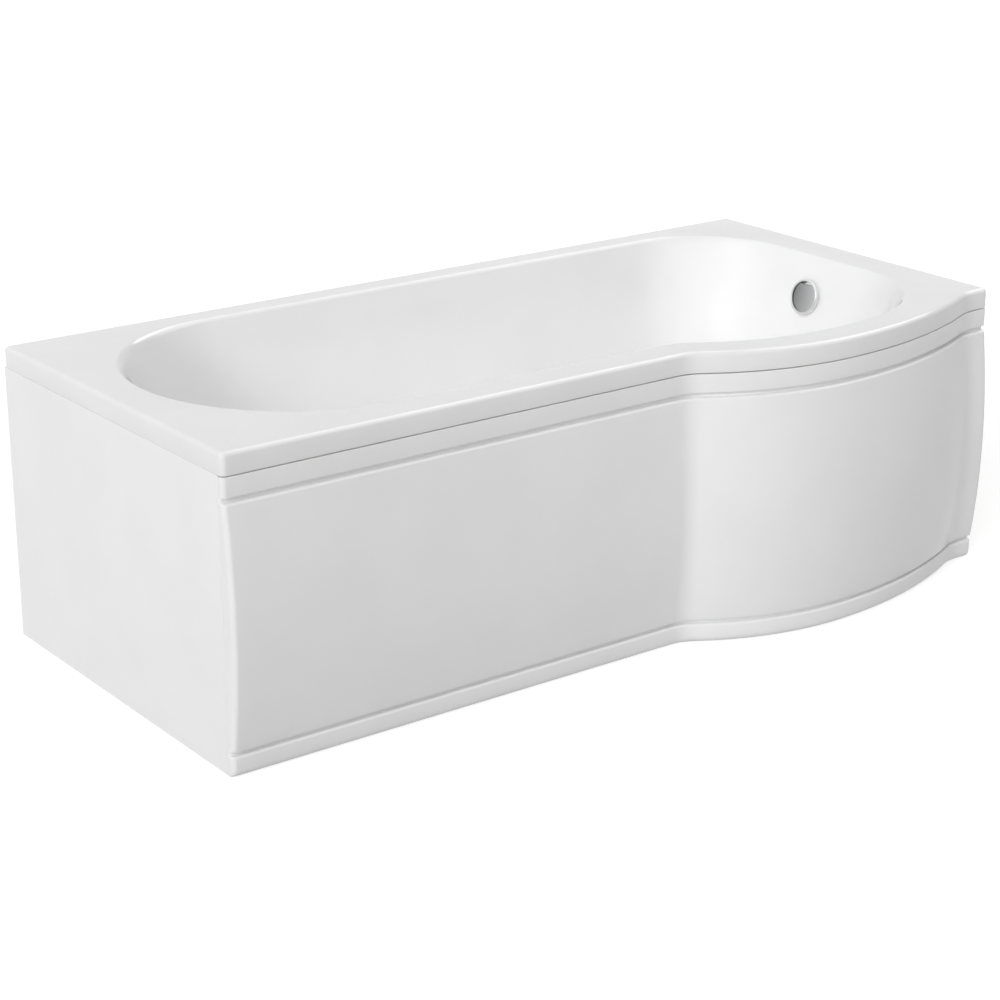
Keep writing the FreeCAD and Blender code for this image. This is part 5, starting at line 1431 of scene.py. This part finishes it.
class BATH_OT_stage(bpy.types.Operator):
    """Camera, pale floor, even sky light, key and back lamps, two sheens that only gloss shows, and a tub lamp"""
    bl_idname = "bath.stage"
    bl_label = "Studio"

    def execute(self, context):
        scene, s = context.scene, context.scene.bath_studio
        scene.view_settings.view_transform = "Standard"
        self.camera(scene, s)
        self.floor(scene, s)
        self.sky(scene, s)
        self.lamp(scene, "key_lamp", s.key_light, s.key_way, s.key_spread).visible_glossy = False
        self.lamp(scene, "back_lamp", s.back_light, s.back_way, s.back_spread)
        for part in np.arange(1, s.sheen_steps + 1) / s.sheen_steps:
            for name, strength, way, spread in (
                ("corner_sheen", s.corner_light, s.corner_way, s.corner_spread),
                ("edge_sheen", s.edge_light, s.edge_way, s.edge_spread),
            ):
                self.lamp(scene, name, strength * part ** 2, way, spread * part).visible_diffuse = False
        self.tub_lamp(scene, s)
        return {"FINISHED"}

    def camera(self, scene, s):
        """The scene's camera, at its place, tilted down and turned."""
        camera = placed(scene, "camera", bpy.data.cameras.new("camera"))
        camera.location = s.camera_place
        camera.rotation_euler = (math.pi / 2 - s.camera_down, 0, s.camera_turn)
        camera.data.lens, camera.data.sensor_width = s.camera_lens, s.camera_frame
        camera.data.clip_end = 2 * s.floor_size
        scene.camera = camera

    def seen(self, start):
        """1 for rays that show a background: from the camera, off gloss and through glass."""
        camera, gloss, glass = (
            start.node("ShaderNodeLightPath", output=f"Is {kind} Ray")
            for kind in ("Camera", "Glossy", "Transmission"))
        return start.maths("MAXIMUM", start.maths("MAXIMUM", camera, gloss), glass)

    def floor(self, scene, s):
        """A level sheet, pale from above and clear from below."""
        half = s.floor_size / 2
        mesh = bpy.data.meshes.new("studio_floor")
        mesh.from_pydata([(x, y, 0) for x, y in oblong(-half, half, -half, half)], [], [(0, 1, 2, 3)])
        floor = placed(scene, "studio_floor", mesh)
        material, start = new_material("studio_floor")
        plain = start.node("ShaderNodeBsdfDiffuse", Color=(*s.floor_colour, 1))
        lift = start.node("ShaderNodeEmission", Color=WHITE, Strength=self.seen(start) * s.floor_lift)
        lit = start.node("ShaderNodeAddShader", Shader=plain, Shader_001=lift)
        underside = start.node("ShaderNodeNewGeometry", output="Backfacing")
        clear = start.node("ShaderNodeBsdfTransparent")
        shown = start.node("ShaderNodeMixShader", Fac=underside, Shader=lit, Shader_001=clear)
        shown.end("ShaderNodeOutputMaterial")
        mesh.materials.append(material)

    def sky(self, scene, s):
        """Even light from all round, white where it is seen."""
        scene.world = bpy.data.worlds.new("studio_sky")
        scene.world.use_nodes = True
        scene.world.node_tree.nodes.clear()
        start = Value(scene.world.node_tree)
        strength = self.seen(start) * (1 - s.sky_light) + s.sky_light
        start.node("ShaderNodeBackground", Color=WHITE, Strength=strength).end("ShaderNodeOutputWorld")

    def lamp(self, scene, name, strength, way, spread):
        """A distant lamp that shines from a direction and looks as wide as its spread."""
        lamp = placed(scene, name, bpy.data.lights.new(name, "SUN"))
        lamp.data.energy, lamp.data.angle = strength, spread
        lamp.rotation_euler = (math.atan2(math.hypot(way[0], way[1]), way[2]), 0, math.atan2(way[0], -way[1]))
        return lamp

    def tub_lamp(self, scene, s):
        """A long lamp over the tub whose beam stays inside the rim, and which no gloss shows."""
        light = bpy.data.lights.new("tub_lamp", "AREA")
        light.shape, light.energy, light.spread = "RECTANGLE", s.tub_light, s.tub_lamp_spread
        light.size, light.size_y = s.tub_lamp_length, s.tub_lamp_width
        lamp = placed(scene, "tub_lamp", light)
        lamp.location = (s.tub_lamp_place, measures(scene).tub_middle, s.tub_lamp_height)
        lamp.visible_glossy = False


OPERATORS = (
    BATH_OT_stage, BATH_OT_shell, BATH_OT_backing, BATH_OT_front_panel, BATH_OT_end_panel, BATH_OT_overflow,
    BATH_OT_waste, BATH_OT_pipe, BATH_OT_legs, BATH_OT_screws, BATH_OT_timber, BATH_OT_steel,
)


class BATH_PT_panel(bpy.types.Panel):
    """Buttons that make the bath's pieces, and their settings"""
    bl_idname = "BATH_PT_panel"
    bl_label = "Shower bath"
    bl_space_type = "VIEW_3D"
    bl_region_type = "UI"
    bl_category = "Bath"

    def draw(self, context):
        for operator in OPERATORS:
            self.layout.operator(operator.bl_idname)
        for group, kind in SETTINGS.items():
            box = self.layout.box()
            box.label(text=kind.__doc__)
            for name in kind.__annotations__:
                box.prop(getattr(context.scene, group), name)


def register():
    """Makes the settings, buttons and panel known to Blender."""
    for kind in (*SETTINGS.values(), *OPERATORS, BATH_PT_panel):
        bpy.utils.register_class(kind)
    for name, kind in SETTINGS.items():
        setattr(bpy.types.Scene, name, bpy.props.PointerProperty(type=kind))


def unregister():
    """Takes them out again."""
    for name in SETTINGS:
        delattr(bpy.types.Scene, name)
    for kind in (BATH_PT_panel, *reversed(OPERATORS), *SETTINGS.values()):
        bpy.utils.unregister_class(kind)


def main():
    """Makes every piece in order."""
    register()
    for operator in OPERATORS:
        group, name = operator.bl_idname.split(".")
        getattr(getattr(bpy.ops, group), name)()


if __name__ == "__main__":
    main()
